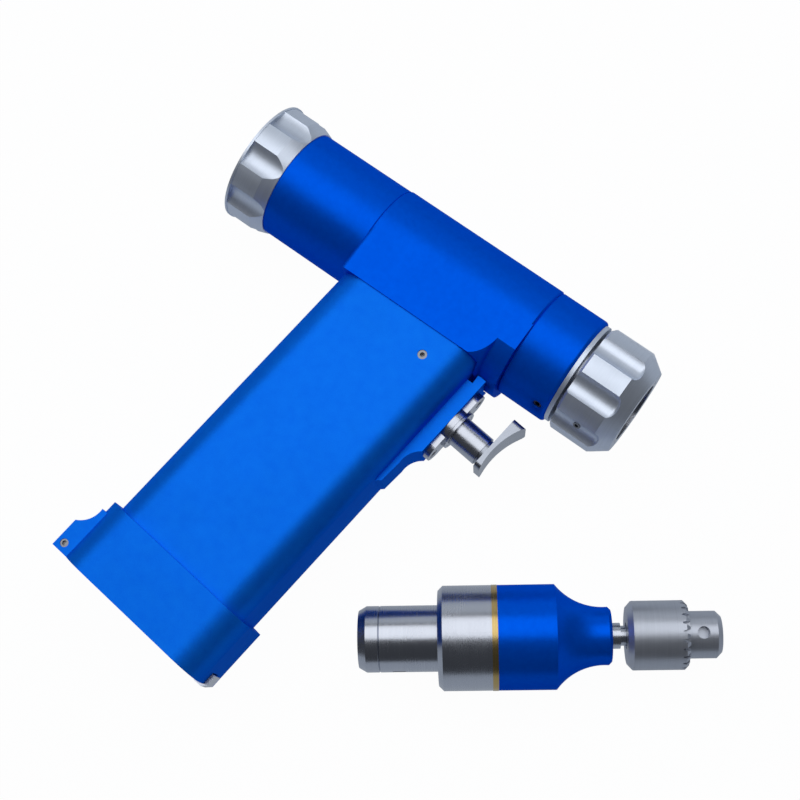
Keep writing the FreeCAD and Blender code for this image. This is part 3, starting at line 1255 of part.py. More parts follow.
def attachment_housings():
    """Shank and steel collar, brass ring and the coned blue body."""
    inner = S.bearing_r + S.fit
    hollow = S.bearing_r - S.fit * 10
    seat_front = -S.bearing_width
    line = -S.shank_length + S.shank_line
    groove = S.line_depth
    shank = lathe(
        "shank_housing",
        (-S.shank_length, hollow), (-S.shank_length, S.shank_r - S.shank_bevel_drop),
        (-S.shank_length + S.shank_bevel, S.shank_r), (line - groove, S.shank_r),
        (line, S.shank_r - groove), (line + groove, S.shank_r),
        (0, S.shank_r), (0, S.body_r - S.steel_bevel), (S.steel_bevel, S.body_r),
        (steel_end, S.body_r), (steel_end, body_bore), (S.gear_start - S.fit * 12, body_bore),
        (S.gear_start - S.fit * 12, inner), (seat_front - S.bearing_width, inner),
        (seat_front - S.bearing_width, hollow),
    )
    width = S.notch_width / 2
    floor = S.shank_r - S.notch_depth
    for angle in (S.notch_angle, S.notch_angle + 180):
        notch_rear = -S.notch_rear
        way = radial(angle)
        spot = FreeCAD.Vector(number(notch_rear), 0, 0) + way * number(floor)
        slot = shank.newObject("PartDesign::SubtractiveBox", "shank_housing_notch")
        bind(slot, "Length", S.notch_length)
        bind(slot, "Width", width * 2)
        bind(slot, "Height", S.notch_depth * 2)
        frame = FreeCAD.Matrix()
        side = way.cross(AHEAD)
        frame.A11, frame.A21, frame.A31 = AHEAD.x, AHEAD.y, AHEAD.z
        frame.A12, frame.A22, frame.A32 = side.x, side.y, side.z
        frame.A13, frame.A23, frame.A33 = way.x, way.y, way.z
        base = spot - side * number(width)
        slot.Placement = FreeCAD.Placement(base, FreeCAD.Placement(frame).Rotation)
    shank.Placement = attachment_place
    tube("brass_ring", steel_end, brass_end, body_bore, S.body_r + S.brass_proud, placement=attachment_place)
    seat = S.output_bearing_r + S.fit
    room = carrier_front + S.air * 2
    spigot = steel_end - S.spigot_length / 3
    lathe(
        "cone_housing",
        (spigot, S.carrier_r + S.air), (spigot, ring_outer), (brass_end, ring_outer),
        (brass_end, S.body_r), (cone_start, S.body_r),
        (cone_front, S.cone_end_r, S.cone_hollow_r, LEFT),
        (cone_front + S.cone_nose, S.cone_end_r - S.cone_nose),
        (cone_front + S.cone_nose, seal_bore), (cone_front - S.output_lip, seal_bore),
        (cone_front - S.output_lip, seat), (room, seat), (room, S.carrier_r + S.air),
        placement=attachment_place,
    )
    space = gear_outline(
        int(number(S.ring_teeth)), number(S.gear_module * S.gear_dedendum),
        number(S.gear_module * S.gear_addendum), -number(S.gear_play),
    )
    blank = cylinder(ring_outer, S.gear_width + S.air, FreeCAD.Vector(number(S.gear_start), 0, 0), AHEAD)
    teeth = gear_prism(space, S.gear_start - 1, gear_end + 1)
    solid_part("ring_gear", blank.cut(teeth).removeSplitter(), attachment_place)
    rear = -S.bearing_width * 2 + S.fit
    near = S.input_r + S.run
    solid_part("input_bearing", ring_shape(rear, rear + S.bearing_width, near, S.bearing_r), attachment_place)
    far = S.output_r + S.run
    first, second = room + S.bearing_width, cone_front - S.output_lip - S.bearing_width - S.air
    bearings = [ring_shape(x, x + S.bearing_width, far, S.output_bearing_r) for x in (first, second)]
    solid_part("output_bearings", Part.makeCompound(bearings), attachment_place)
    seal = ring_shape(cone_front - S.output_lip + S.air, cone_front, far, seal_bore - S.fit)
    solid_part("output_seal", seal, attachment_place)


seal_bore = S.output_r + S.seal_room


def gear_train():
    """Input shaft with the sun gear, three planets and their carrier."""
    module = S.gear_module
    add, ded, play = number(module * S.gear_addendum), number(module * S.gear_dedendum), number(S.gear_play)
    sun = gear_prism(gear_outline(int(number(S.sun_teeth)), add, ded, play), S.gear_start - S.air, gear_end)
    start = FreeCAD.Vector(number(tang_front), 0, 0)
    shaft = cylinder(S.input_r, S.gear_start - tang_front, start, AHEAD)
    half = S.spindle_r - S.air * 2
    thick = S.tang_thickness / 2
    tang = box(tang_front - S.input_tang, tang_front, -thick, thick, -half, half)
    pilot = cylinder(S.planet_pin_r, S.carrier_thickness, FreeCAD.Vector(number(gear_end), 0, 0), AHEAD)
    solid_part("input_shaft", sun.fuse([shaft, tang, pilot]).removeSplitter(), attachment_place)
    outline_points = gear_outline(int(number(S.planet_teeth)), add, ded, play)
    count = int(number(S.planet_count))
    pins = []
    for index in range(count):
        angle = 360.0 * index / count
        way = radial(angle)
        centre = way * number(planet_orbit)
        gear = gear_prism(outline_points, S.gear_start, gear_end, angle)
        rear = FreeCAD.Vector(number(S.gear_start), 0, 0)
        hole = cylinder(S.planet_pin_r + S.run, S.gear_width, rear, AHEAD)
        gear = gear.cut(hole)
        place = attachment_place * FreeCAD.Placement(centre, FreeCAD.Rotation())
        solid_part(f"planet_gear_{index + 1}", gear, place)
        start = centre + AHEAD * number(S.gear_start)
        pins.append(cylinder(S.planet_pin_r, carrier_front - S.gear_start, start, AHEAD))
    solid_part("planet_pins", Part.makeCompound(pins), attachment_place)
    carrier = lathe(
        "planet_carrier",
        (carrier_rear, S.planet_pin_r + S.run), (carrier_rear, S.carrier_r), (carrier_front, S.carrier_r),
        (carrier_front, S.output_r), (spindle_front, S.output_r), (spindle_front, S.groove_spindle_r),
        (chuck_rear + S.air, S.groove_spindle_r), (chuck_rear + S.air, S.output_r),
        (chuck_rear + S.chuck_stub, S.output_r), (chuck_rear + S.chuck_stub, 0),
        (carrier_front + S.air, 0), (carrier_front + S.air, S.planet_pin_r + S.run),
    )
    for index in range(count):
        way = radial(360.0 * index / count)
        spot = way * number(planet_orbit) + AHEAD * number(carrier_rear - S.air)
        bore(carrier, S.planet_pin_r + S.fit, S.carrier_thickness * 2, spot, AHEAD)
    carrier.Placement = attachment_place


def chuck():
    """The keyed chuck: body, toothed sleeve with its nut, and three sloping jaws."""
    stub_end = chuck_rear + S.chuck_stub + S.air
    shell_r = S.chuck_r - S.sleeve_wall
    core_r = shell_r - S.run
    body = lathe(
        "chuck_body",
        (chuck_rear, S.output_r + S.fit), (chuck_rear, S.chuck_rear_r), (sleeve_start, S.chuck_r - S.run),
        (sleeve_start + S.air, S.chuck_r - S.run), (sleeve_start + S.air, core_r),
        (nut_rear - S.air / 2, core_r), (nut_rear - S.air / 2, S.core_groove_r),
        (nut_front + S.air / 2, S.core_groove_r), (nut_front + S.air / 2, core_r),
        (sleeve_end, core_r), (sleeve_end, S.nose_r),
        (nose_end - S.chuck_nose_bevel, S.nose_r), (nose_end, S.nose_r - S.chuck_nose_bevel),
        (nose_end, S.chuck_mouth_r), (stub_end, S.chuck_mouth_r), (stub_end, S.output_r + S.fit),
    )
    slope = math.radians(number(S.jaw_angle))
    count = 3
    jaws = []
    for index in range(count):
        hole_way = radial(S.key_hole_angle + index * 360 / count)
        spot = AHEAD * number(sleeve_end + S.key_hole_out) + hole_way * number(S.nose_r - S.key_hole_depth)
        bore(body, S.key_hole_r, S.nose_r, spot, hole_way)
        way = radial(S.key_hole_angle + 180 + index * 360 / count)
        ahead = AHEAD * math.cos(slope) - way * math.sin(slope)
        tip = AHEAD * number(nose_end - S.air) + way * number(S.jaw_tip_r)
        rear = tip - ahead * number(S.jaw_length + S.jaw_travel + S.air)
        bore(body, S.jaw_r + S.run, S.jaw_length * 2, rear, ahead)
        jaws.append((way, ahead, tip))
    body.Placement = attachment_place
    for index, (way, ahead, tip) in enumerate(jaws):
        rod = cylinder(S.jaw_r, S.jaw_length + S.jaw_r, tip - ahead * number(S.jaw_length), ahead)
        side = way.cross(AHEAD)
        reach = number(S.chuck_r) * 2
        gap = number(S.jaw_gap)
        origin = way * (gap / math.sin(math.radians(60)))
        corners = [origin + AHEAD * number(chuck_rear)]
        for turn in (-1, 1):
            arm = way * math.cos(math.radians(60)) + side * (turn * math.sin(math.radians(60)))
            corners.append(corners[0] + arm * reach)
        wedge = Part.Face(Part.makePolygon(corners + corners[:1])).extrude(
            AHEAD * number(nose_end - S.air - chuck_rear))
        shape = rod.common(wedge)
        shift = ahead * -number(S.jaw_travel)
        place = attachment_place * FreeCAD.Placement(shift, FreeCAD.Rotation())
        solid_part(f"chuck_jaw_{index + 1}", shape, place)
    sleeve = lathe(
        "chuck_sleeve",
        (sleeve_start + S.air, shell_r), (sleeve_start + S.air, S.chuck_r),
        (sleeve_end - S.crown_bevel, S.chuck_r), (sleeve_end, S.chuck_r - S.crown_bevel),
        (sleeve_end, shell_r),
    )
    half = S.crown_half
    sketch = outline(
        new_sketch(sleeve, "XY_Plane", shell_r / 2),
        (sleeve_end - S.crown_depth, -S.crown_floor), (sleeve_end + S.air, -half),
        (sleeve_end + S.air, half), (sleeve_end - S.crown_depth, S.crown_floor),
    )
    around(sleeve, [sweep(sleeve, "Pocket", sketch, flip=True)], S.crown_teeth)
    sleeve.Placement = attachment_place
    slope_rise = math.tan(slope)
    near = number(S.jaw_tip_r + S.jaw_r / math.cos(slope) + S.air / 2)
    rear_r = near + (number(nose_end - S.air) - number(nut_rear)) * slope_rise
    front_r = near + (number(nose_end - S.air) - number(nut_front)) * slope_rise
    lathe(
        "chuck_nut",
        (nut_rear, rear_r), (nut_rear, shell_r - S.fit), (nut_front, shell_r - S.fit), (nut_front, front_r),
        placement=attachment_place,
    )


nut_rear = sleeve_end - S.nut_back
nut_front = nut_rear + S.nut_length


head_housing()
barrel_housings()
coupling()
motor()
build_grip()
battery_end()
electronics()
trigger()
attachment_housings()
gear_train()
chuck()
doc.recompute()

for item in doc.Objects:
    if "Invalid" in item.State or "Error" in item.State:
        raise ValueError(f"{item.Name} did not compute: {item.State}")
for label, item in subparts.items():
    if item.Shape.isNull() or not item.Shape.isValid():
        raise ValueError(f"{label} has no valid shape")
os.makedirs("parts", exist_ok=True)
for label, item in subparts.items():
    item.Shape.exportStep(f"parts/{label}.step")
print(len(subparts), "sub-parts")
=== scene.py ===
"""Surgical power drill and its chuck attachment on a white table, seen from above.

Metres, in the frame of the CAD model: +X along the barrel out of its socket, +Z up from the table.
"""

import math

import bpy
import numpy as np
from mathutils import Matrix, Vector


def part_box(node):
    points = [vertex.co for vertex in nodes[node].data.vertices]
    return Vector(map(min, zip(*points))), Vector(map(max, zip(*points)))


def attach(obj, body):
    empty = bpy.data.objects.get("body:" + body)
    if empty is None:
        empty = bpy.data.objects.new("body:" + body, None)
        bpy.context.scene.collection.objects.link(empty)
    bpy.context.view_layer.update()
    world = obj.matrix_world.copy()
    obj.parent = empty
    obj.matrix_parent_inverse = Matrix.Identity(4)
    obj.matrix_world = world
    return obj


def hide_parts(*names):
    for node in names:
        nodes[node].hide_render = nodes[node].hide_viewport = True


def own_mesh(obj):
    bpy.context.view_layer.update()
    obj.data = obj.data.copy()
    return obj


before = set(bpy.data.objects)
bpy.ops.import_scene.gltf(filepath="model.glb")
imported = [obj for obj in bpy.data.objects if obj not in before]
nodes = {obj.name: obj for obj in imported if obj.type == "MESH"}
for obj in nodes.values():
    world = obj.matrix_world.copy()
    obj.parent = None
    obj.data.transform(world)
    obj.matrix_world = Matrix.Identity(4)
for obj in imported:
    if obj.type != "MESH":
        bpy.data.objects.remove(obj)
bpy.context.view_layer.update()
scene = bpy.context.scene
scene.view_settings.view_transform = "Standard"

# Camera: above the drill, turned so that the barrel runs down to the right
CAMERA_PLACE = (0.02764475, -0.12158777, 0.46817822)
CAMERA_RIGHT = (0.804953, 0.590860, -0.054184)
CAMERA_DOWN = (0.562588, -0.789062, -0.246730)
CAMERA_AHEAD = (-0.188537, 0.168123, -0.967568)
SENSOR = 36.0
FOCAL_PIXELS = 1500.0
IMAGE_PIXELS = 800.0
CLIP_START = 0.01

camera_data = bpy.data.cameras.new("camera")
camera = bpy.data.objects.new("camera", camera_data)
scene.collection.objects.link(camera)
scene.camera = camera
camera_data.sensor_width = SENSOR
camera_data.lens = SENSOR * FOCAL_PIXELS / IMAGE_PIXELS
camera_data.clip_start = CLIP_START
right, down, ahead = (Vector(axis).normalized() for axis in (CAMERA_RIGHT, CAMERA_DOWN, CAMERA_AHEAD))
turn = Matrix((right, -down, -ahead)).transposed().to_4x4()
camera.matrix_world = Matrix.Translation(Vector(CAMERA_PLACE)) @ turn

# Directions and places shared with the CAD model
LEAN = math.radians(6.0)
GRIP_AHEAD = np.array([math.cos(LEAN), -math.sin(LEAN), 0.0])
ATTACHMENT_PLACE = (-0.0092, -0.0944, -0.0050)
ATTACHMENT_TURN = math.radians(36.8)
TABLE = -0.0213

# Finish values: heights in metres, the rest as shares and shader values
COARSE_SCALE = 0.09
COARSE_SHARE = 0.5
SPECKS = 0.5
MARKS_LOW, MARKS_HIGH = 0.35, 0.75
BLAST_MARKS_SCALE = 38.0
BLAST_HEIGHT, BLAST_BUMP = 0.00002, 0.35
BLAST_ROUGH, BLAST_MARKS_ROUGH, BLAST_ROUGH_START = 0.06, 0.05, 0.02
RING_MARKS_SCALE = 70.0
RING_ACROSS, RING_BUMP = 40.0, 0.5
RING_ROUGH, RING_MARKS_ROUGH = 0.12, 0.07
PLAIN_ROUGH, PLAIN_BUMP = 0.06, 0.4


# Shader node groups

def new_group(name, inputs, outputs):
    """An empty shader node group with float, colour or vector sockets."""
    group = bpy.data.node_groups.new(name, "ShaderNodeTree")
    kinds = {"f": "NodeSocketFloat", "c": "NodeSocketColor", "v": "NodeSocketVector"}
    for label, kind, default in inputs:
        socket = group.interface.new_socket(name=label, in_out="INPUT", socket_type=kinds[kind])
        if default is not None:
            socket.default_value = default
    for label, kind in outputs:
        group.interface.new_socket(name=label, in_out="OUTPUT", socket_type=kinds[kind])
    entry = group.nodes.new("NodeGroupInput")
    leave = group.nodes.new("NodeGroupOutput")
    return group, entry, leave


def put(tree, kind, values=None, **fields):
    """A node of a kind, with its fields and the default values of its inputs."""
    node = tree.nodes.new(kind)
    for field, value in fields.items():
        setattr(node, field, value)
    for key, value in (values or {}).items():
        node.inputs[key].default_value = value
    return node


def join(tree, source, target):
    """A link from an output to an input."""
    tree.links.new(source, target)


def maths(tree, operation, first, second=None, third=None):
    """The output of a math node; its inputs are outputs of nodes or numbers."""
    node = put(tree, "ShaderNodeMath", operation=operation)
    for index, value in enumerate((first, second, third)):
        if value is None:
            continue
        if isinstance(value, (int, float)):
            node.inputs[index].default_value = value
        else:
            join(tree, value, node.inputs[index])
    return node.outputs[0]


def make_blast_grain():
    """Fine bead-blasted grain: a height and a mask of darker and lighter specks."""
    group, entry, leave = new_group(
        "bead_blast", [("Vector", "v", None), ("Size", "f", 0.0004), ("Specks", "f", SPECKS)],
        [("Height", "f"), ("Mask", "f")],
    )
    scale = maths(group, "DIVIDE", 1.0, entry.outputs["Size"])
    fine = put(group, "ShaderNodeTexNoise", {"Detail": 2.0, "Roughness": 0.6})
    coarse = put(group, "ShaderNodeTexNoise", {"Detail": 3.0, "Roughness": 0.55})
    for noise, part in ((fine, 1.0), (coarse, COARSE_SCALE)):
        join(group, entry.outputs["Vector"], noise.inputs["Vector"])
        join(group, maths(group, "MULTIPLY", scale, part), noise.inputs["Scale"])
    join(group, fine.outputs["Fac"], leave.inputs["Height"])
    blend = maths(group, "MULTIPLY_ADD", fine.outputs["Fac"], entry.outputs["Specks"],
                  maths(group, "MULTIPLY", coarse.outputs["Fac"], COARSE_SHARE))
    join(group, blend, leave.inputs["Mask"])
    return group


def make_turning():
    """Turned lines round an axis: fine rings whose height and tone change along it."""
    group, entry, leave = new_group(
        "turning_lines", [("Vector", "v", None), ("Lines", "f", 9000.0), ("Across", "f", 60.0)],
        [("Height", "f"), ("Mask", "f")],
    )
    parts = put(group, "ShaderNodeSeparateXYZ")
    join(group, entry.outputs["Vector"], parts.inputs[0])
    along = maths(group, "MULTIPLY", parts.outputs["X"], entry.outputs["Lines"])
    across = maths(group, "MULTIPLY", parts.outputs["Y"], entry.outputs["Across"])
    upward = maths(group, "MULTIPLY", parts.outputs["Z"], entry.outputs["Across"])
    mix = put(group, "ShaderNodeCombineXYZ")
    for output, slot in ((along, "X"), (across, "Y"), (upward, "Z")):
        join(group, output, mix.inputs[slot])
    noise = put(group, "ShaderNodeTexNoise", {"Scale": 1.0, "Detail": 3.0, "Roughness": 0.7})
    join(group, mix.outputs[0], noise.inputs["Vector"])
    join(group, noise.outputs["Fac"], leave.inputs["Height"])
    join(group, noise.outputs["Fac"], leave.inputs["Mask"])
    return group


def make_handling():
    """Soft uneven wear and smears: a mask that changes slowly over the surface."""
    group, entry, leave = new_group(
        "handling", [("Vector", "v", None), ("Scale", "f", 60.0), ("Low", "f", 0.4), ("High", "f", 0.7)],
        [("Mask", "f")],
    )
    noise = put(group, "ShaderNodeTexNoise", {"Detail": 5.0, "Roughness": 0.62, "Distortion": 0.4})
    join(group, entry.outputs["Vector"], noise.inputs["Vector"])
    join(group, entry.outputs["Scale"], noise.inputs["Scale"])
    span = put(group, "ShaderNodeMapRange")
    span.interpolation_type = "SMOOTHSTEP"
    join(group, noise.outputs["Fac"], span.inputs["Value"])
    join(group, entry.outputs["Low"], span.inputs["From Min"])
    join(group, entry.outputs["High"], span.inputs["From Max"])
    join(group, span.outputs["Result"], leave.inputs["Mask"])
    return group


blast_group = make_blast_grain()
turning_group = make_turning()
handling_group = make_handling()


# Sockets of a Mix node that mixes colours
MIX_MASK, MIX_FIRST, MIX_SECOND, MIX_RESULT = 0, 6, 7, 2


def mixed_colour(tree, mask, colours):
    """The output of a colour mix from the first to the second of two colours by a mask."""
    mix = put(tree, "ShaderNodeMix", data_type="RGBA")
    for socket, colour in zip((MIX_FIRST, MIX_SECOND), colours):
        mix.inputs[socket].default_value = (*colour, 1.0)
    join(tree, mask, mix.inputs[MIX_MASK])
    return mix.outputs[MIX_RESULT]


def stretched(tree, value, low, high):
    """A mask of 0 to 1 taken to a range."""
    span = put(tree, "ShaderNodeMapRange", {"To Min": low, "To Max": high})
    join(tree, value, span.inputs["Value"])
    return span.outputs["Result"]


def local_vector(tree, place=(0, 0, 0), turn_z=0.0):
    """Object coordinates, centred and turned by a Mapping node of the TEXTURE kind."""
    source = put(tree, "ShaderNodeTexCoord")
    mapping = put(
        tree, "ShaderNodeMapping", {"Location": place, "Rotation": (0.0, 0.0, turn_z)},
        vector_type="TEXTURE",
    )
    join(tree, source.outputs["Object"], mapping.inputs["Vector"])
    return mapping.outputs["Vector"]


def material(name, metallic, **shader):
    """A material with a Principled shader; the extra values are set on the shader itself."""
    made = bpy.data.materials.new(name)
    made.use_nodes = True
    tree = made.node_tree
    bsdf = tree.nodes["Principled BSDF"]
    bsdf.inputs["Metallic"].default_value = metallic
    for key, value in shader.items():
        bsdf.inputs[key.replace("_", " ")].default_value = value
    return made, tree, bsdf


def grouped(tree, group, vector, **values):
    """A group node fed by a vector."""
    node = put(tree, "ShaderNodeGroup")
    node.node_tree = group
    join(tree, vector, node.inputs["Vector"])
    for key, value in values.items():
        node.inputs[key].default_value = value
    return node


def bump(tree, bsdf, height, distance, strength=1.0):
    """A bump from a height, on the shader's normal."""
    node = put(tree, "ShaderNodeBump", {"Distance": distance, "Strength": strength})
    join(tree, height, node.inputs["Height"])
    join(tree, node.outputs["Normal"], bsdf.inputs["Normal"])


def anodised(name, colours, grain, rough, place=(0, 0, 0), turn_z=0.0):
    """Coloured anodised aluminium with a bead-blasted grain and slight handling marks."""
    made, tree, bsdf = material(
        name, ANODISED_METALLIC, Specular_Tint=BLUE_EDGE, Specular_IOR_Level=0.0,
    )
    vector = local_vector(tree, place, turn_z)
    blast = grouped(tree, blast_group, vector, Size=grain, Specks=SPECKS)
    marks = grouped(
        tree, handling_group, vector, Scale=BLAST_MARKS_SCALE, Low=MARKS_LOW, High=MARKS_HIGH,
    )
    join(tree, mixed_colour(tree, blast.outputs["Mask"], colours), bsdf.inputs["Base Color"])
    start = rough - BLAST_ROUGH_START
    uneven = maths(tree, "MULTIPLY_ADD", marks.outputs["Mask"], BLAST_MARKS_ROUGH, start)
    grainy = maths(tree, "MULTIPLY_ADD", blast.outputs["Mask"], BLAST_ROUGH, uneven)
    join(tree, grainy, bsdf.inputs["Roughness"])
    bump(tree, bsdf, blast.outputs["Height"], BLAST_HEIGHT, BLAST_BUMP)
    return made


def turned_metal(name, colours, rough, place=(0, 0, 0), turn_z=0.0, lines=9000.0,
                 depth=0.000012, metallic=1.0):
    """Lathe-turned metal with fine rings along its axis."""
    made, tree, bsdf = material(name, metallic)
    vector = local_vector(tree, place, turn_z)
    rings = grouped(tree, turning_group, vector, Lines=lines, Across=RING_ACROSS)
    marks = grouped(
        tree, handling_group, vector, Scale=RING_MARKS_SCALE, Low=MARKS_LOW, High=MARKS_HIGH,
    )
    join(tree, mixed_colour(tree, rings.outputs["Mask"], colours), bsdf.inputs["Base Color"])
    start = rough - RING_ROUGH / 2
    ringed = maths(tree, "MULTIPLY_ADD", rings.outputs["Mask"], RING_ROUGH, start)
    uneven = maths(tree, "MULTIPLY_ADD", marks.outputs["Mask"], RING_MARKS_ROUGH, ringed)
    join(tree, uneven, bsdf.inputs["Roughness"])
    bump(tree, bsdf, rings.outputs["Height"], depth, RING_BUMP)
    return made


def plain_finish(name, colours, rough, size, metallic=0.0, depth=0.00003):
    """A moulded or cast finish with a fine grain."""
    made, tree, bsdf = material(name, metallic)
    vector = local_vector(tree)
    blast = grouped(tree, blast_group, vector, Size=size, Specks=SPECKS)
    join(tree, mixed_colour(tree, blast.outputs["Mask"], colours), bsdf.inputs["Base Color"])
    uneven = stretched(tree, blast.outputs["Mask"], rough - PLAIN_ROUGH, rough + PLAIN_ROUGH)
    join(tree, uneven, bsdf.inputs["Roughness"])
    bump(tree, bsdf, blast.outputs["Height"], depth, PLAIN_BUMP)
    return made


# Colours: the two ends of each finish's grain
BLUE = ((0.0, 0.072, 0.70), (0.0, 0.136, 0.93))
GRIP_BLUE = ((0.002, 0.122, 0.84), (0.006, 0.225, 1.0))
BLUE_EDGE = (0.25, 0.50, 1.0, 1.0)
ANODISED_METALLIC = 0.5
SILVER = ((0.58, 0.65, 0.77), (0.76, 0.83, 0.95))
STEEL = ((0.39, 0.415, 0.48), (0.52, 0.55, 0.615))
PLATE_STEEL = ((0.27, 0.295, 0.35), (0.40, 0.43, 0.49))
SATIN_STEEL = ((0.36, 0.39, 0.46), (0.56, 0.60, 0.68))
DARK_STEEL = ((0.14, 0.15, 0.17), (0.28, 0.29, 0.32))
SPRING_STEEL = ((0.38, 0.38, 0.40), (0.58, 0.58, 0.60))
BEARING_STEEL = ((0.5, 0.5, 0.52), (0.72, 0.72, 0.74))
BRASS = ((0.40, 0.28, 0.10), (0.58, 0.44, 0.19))
ZINC = ((0.20, 0.21, 0.23), (0.30, 0.31, 0.33))
COPPER = ((0.42, 0.16, 0.05), (0.62, 0.28, 0.10))
NICKEL = ((0.40, 0.40, 0.43), (0.55, 0.55, 0.57))
RUBBER = ((0.012, 0.012, 0.013), (0.035, 0.035, 0.037))
SOLDER_MASK = ((0.01, 0.10, 0.04), (0.02, 0.20, 0.09))
PLASTIC = ((0.018, 0.018, 0.02), (0.04, 0.04, 0.044))
BATTERY_CASE = ((0.05, 0.05, 0.055), (0.10, 0.10, 0.11))

# Pieces of the attachment are finished along its own axis
ATTACHMENT = (ATTACHMENT_PLACE, ATTACHMENT_TURN)
spring_wire = turned_metal("spring_wire", SPRING_STEEL, 0.3)
FINISHES = (
    (anodised("blue_barrel", BLUE, 0.00018, 0.38), ["head_housing", "rear_barrel", "nose_housing"]),
    (anodised("blue_grip", GRIP_BLUE, 0.00032, 0.42), [
        "grip_shell", "battery_ring", "battery_lid", "trigger_block",
    ]),
    (anodised("blue_cone", BLUE, 0.00018, 0.30, *ATTACHMENT), ["cone_housing"]),
    (turned_metal("silver_barrel", SILVER, 0.38, lines=6000.0, metallic=0.75), [
        "rear_cap", "front_collar", "nose_ring", "grip_tenon", "shaft_coupling",
    ]),
    (turned_metal("steel_barrel", STEEL, 0.24), [
        "coupling_sleeve", "lock_pin_1", "lock_pin_2", "lock_pin_3", "spindle",
    ]),
    (turned_metal("steel_grip", STEEL, 0.22, turn_z=-LEAN), [
        "trigger_flange", "trigger_bush", "trigger_plunger", "lid_latch",
    ]),
    (turned_metal("steel_plate", PLATE_STEEL, 0.28, turn_z=-LEAN), ["finger_plate"]),
    (turned_metal("steel_attachment", STEEL, 0.24, *ATTACHMENT), [
        "shank_housing", "planet_carrier", "input_shaft", "ring_gear", "planet_gear_1",
        "planet_gear_2", "planet_gear_3", "planet_pins", "chuck_nut", "chuck_jaw_1",
        "chuck_jaw_2", "chuck_jaw_3",
    ]),
    (turned_metal("satin_chuck", SATIN_STEEL, 0.36, *ATTACHMENT, metallic=0.75), [
        "chuck_body", "chuck_sleeve",
    ]),
    (turned_metal("fastener_steel", DARK_STEEL, 0.26), [
        "nose_screws", "grip_screws", "collar_screw", "flange_screws", "lid_hinge_pin",
    ]),
    (spring_wire, ["collar_spring", "trigger_spring"]),
    (turned_metal("bearing_steel", BEARING_STEEL, 0.2), [
        "motor_bearings", "spindle_bearings", "input_bearing", "output_bearings",
    ]),
    (turned_metal("turned_brass", BRASS, 0.26, *ATTACHMENT), ["brass_ring"]),
    (plain_finish("zinc_can", ZINC, 0.4, 0.0006, 0.9), ["motor_can"]),
    (turned_metal("enamelled_copper", COPPER, 0.35, lines=2500.0, depth=0.0001), ["motor_stator"]),
    (plain_finish("nickel_magnet", NICKEL, 0.3, 0.0005, 1.0), ["motor_rotor"]),
    (plain_finish("black_rubber", RUBBER, 0.7, 0.0003), [
        "cap_seal", "spindle_seal", "output_seal", "lid_seal",
    ]),
    (plain_finish("solder_mask", SOLDER_MASK, 0.4, 0.0008), ["control_board"]),
    (plain_finish("black_plastic", PLASTIC, 0.45, 0.0004), ["trigger_switch", "battery_contacts"]),
    (plain_finish("battery_case", BATTERY_CASE, 0.5, 0.0005), ["battery_pack"]),
)
for finish, names in FINISHES:
    for name in names:
        materials = nodes[name].data.materials
        materials.clear()
        materials.append(finish)


# Trigger spring, built as one coil of fixed length on the handpiece; the real spring shortens as the
# trigger is pulled

def coil_spring(name, start, end, coil_r, wire_r, turns):
    """A coil of round wire between two points: its centre line is a helix, point(t) = start +
    (end - start) t + coil_r (side cos a + up sin a) with a = 2 pi turns t; at each of its points a
    ring of wire radius stands across the line, and the two ends are closed by a fan."""
    steps, sides = COIL_STEPS * turns + 1, COIL_SIDES
    length = np.linalg.norm(end - start)
    way = (end - start) / length
    up = np.array([0.0, 0.0, 1.0])
    side = np.cross(up, way)
    t = np.linspace(0.0, 1.0, steps)[:, None]
    angle = 2 * np.pi * turns * t
    outward = side * np.cos(angle) + up * np.sin(angle)
    centre = start + (end - start) * t + coil_r * outward
    along = way * length + coil_r * 2 * np.pi * turns * (up * np.cos(angle) - side * np.sin(angle))
    along /= np.linalg.norm(along, axis=1)[:, None]
    third = np.cross(along, outward)
    turn_round = np.linspace(0.0, 2 * np.pi, sides, endpoint=False)[None, :, None]
    across = outward[:, None] * np.cos(turn_round) + third[:, None] * np.sin(turn_round)
    rings = centre[:, None] + wire_r * across
    points = np.vstack([rings.reshape(-1, 3), centre[:1], centre[-1:]])
    row = np.arange(steps - 1)[:, None] * sides
    here = np.arange(sides)[None, :]
    following = (here + 1) % sides
    quads = np.stack([row + here, row + following, row + sides + following, row + sides + here], axis=-1)
    last = (steps - 1) * sides
    fans = [(steps * sides, int(b), int(a)) for a, b in zip(here[0], following[0])]
    fans += [(steps * sides + 1, last + int(a), last + int(b)) for a, b in zip(here[0], following[0])]
    mesh = bpy.data.meshes.new(name)
    mesh.from_pydata(points.tolist(), [], quads.reshape(-1, 4).tolist() + fans)
    mesh.polygons.foreach_set("use_smooth", np.ones(len(mesh.polygons), dtype=bool))
    made = bpy.data.objects.new(name, mesh)
    scene.collection.objects.link(made)
    return made


SPRING_WIRE, SPRING_COIL, SPRING_TURNS = 0.0004, 0.0034, 4
COIL_STEPS, COIL_SIDES = 24, 12
spring_mesh = nodes["trigger_spring"].data
spring_points = np.empty(len(spring_mesh.vertices) * 3)
spring_mesh.vertices.foreach_get("co", spring_points)
reach = spring_points.reshape(-1, 3) @ GRIP_AHEAD
heart = (np.array(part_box("trigger_spring")[0]) + np.array(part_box("trigger_spring")[1])) / 2
base = heart - GRIP_AHEAD * (heart @ GRIP_AHEAD)
rear_end = base + GRIP_AHEAD * (reach.min() + SPRING_WIRE)
front_end = base + GRIP_AHEAD * (reach.max() - SPRING_WIRE)
spring = coil_spring("trigger_coil", rear_end, front_end, SPRING_COIL, SPRING_WIRE, SPRING_TURNS)
spring.data.materials.append(spring_wire)
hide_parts("trigger_spring")
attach(spring, "handpiece")
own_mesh(spring)
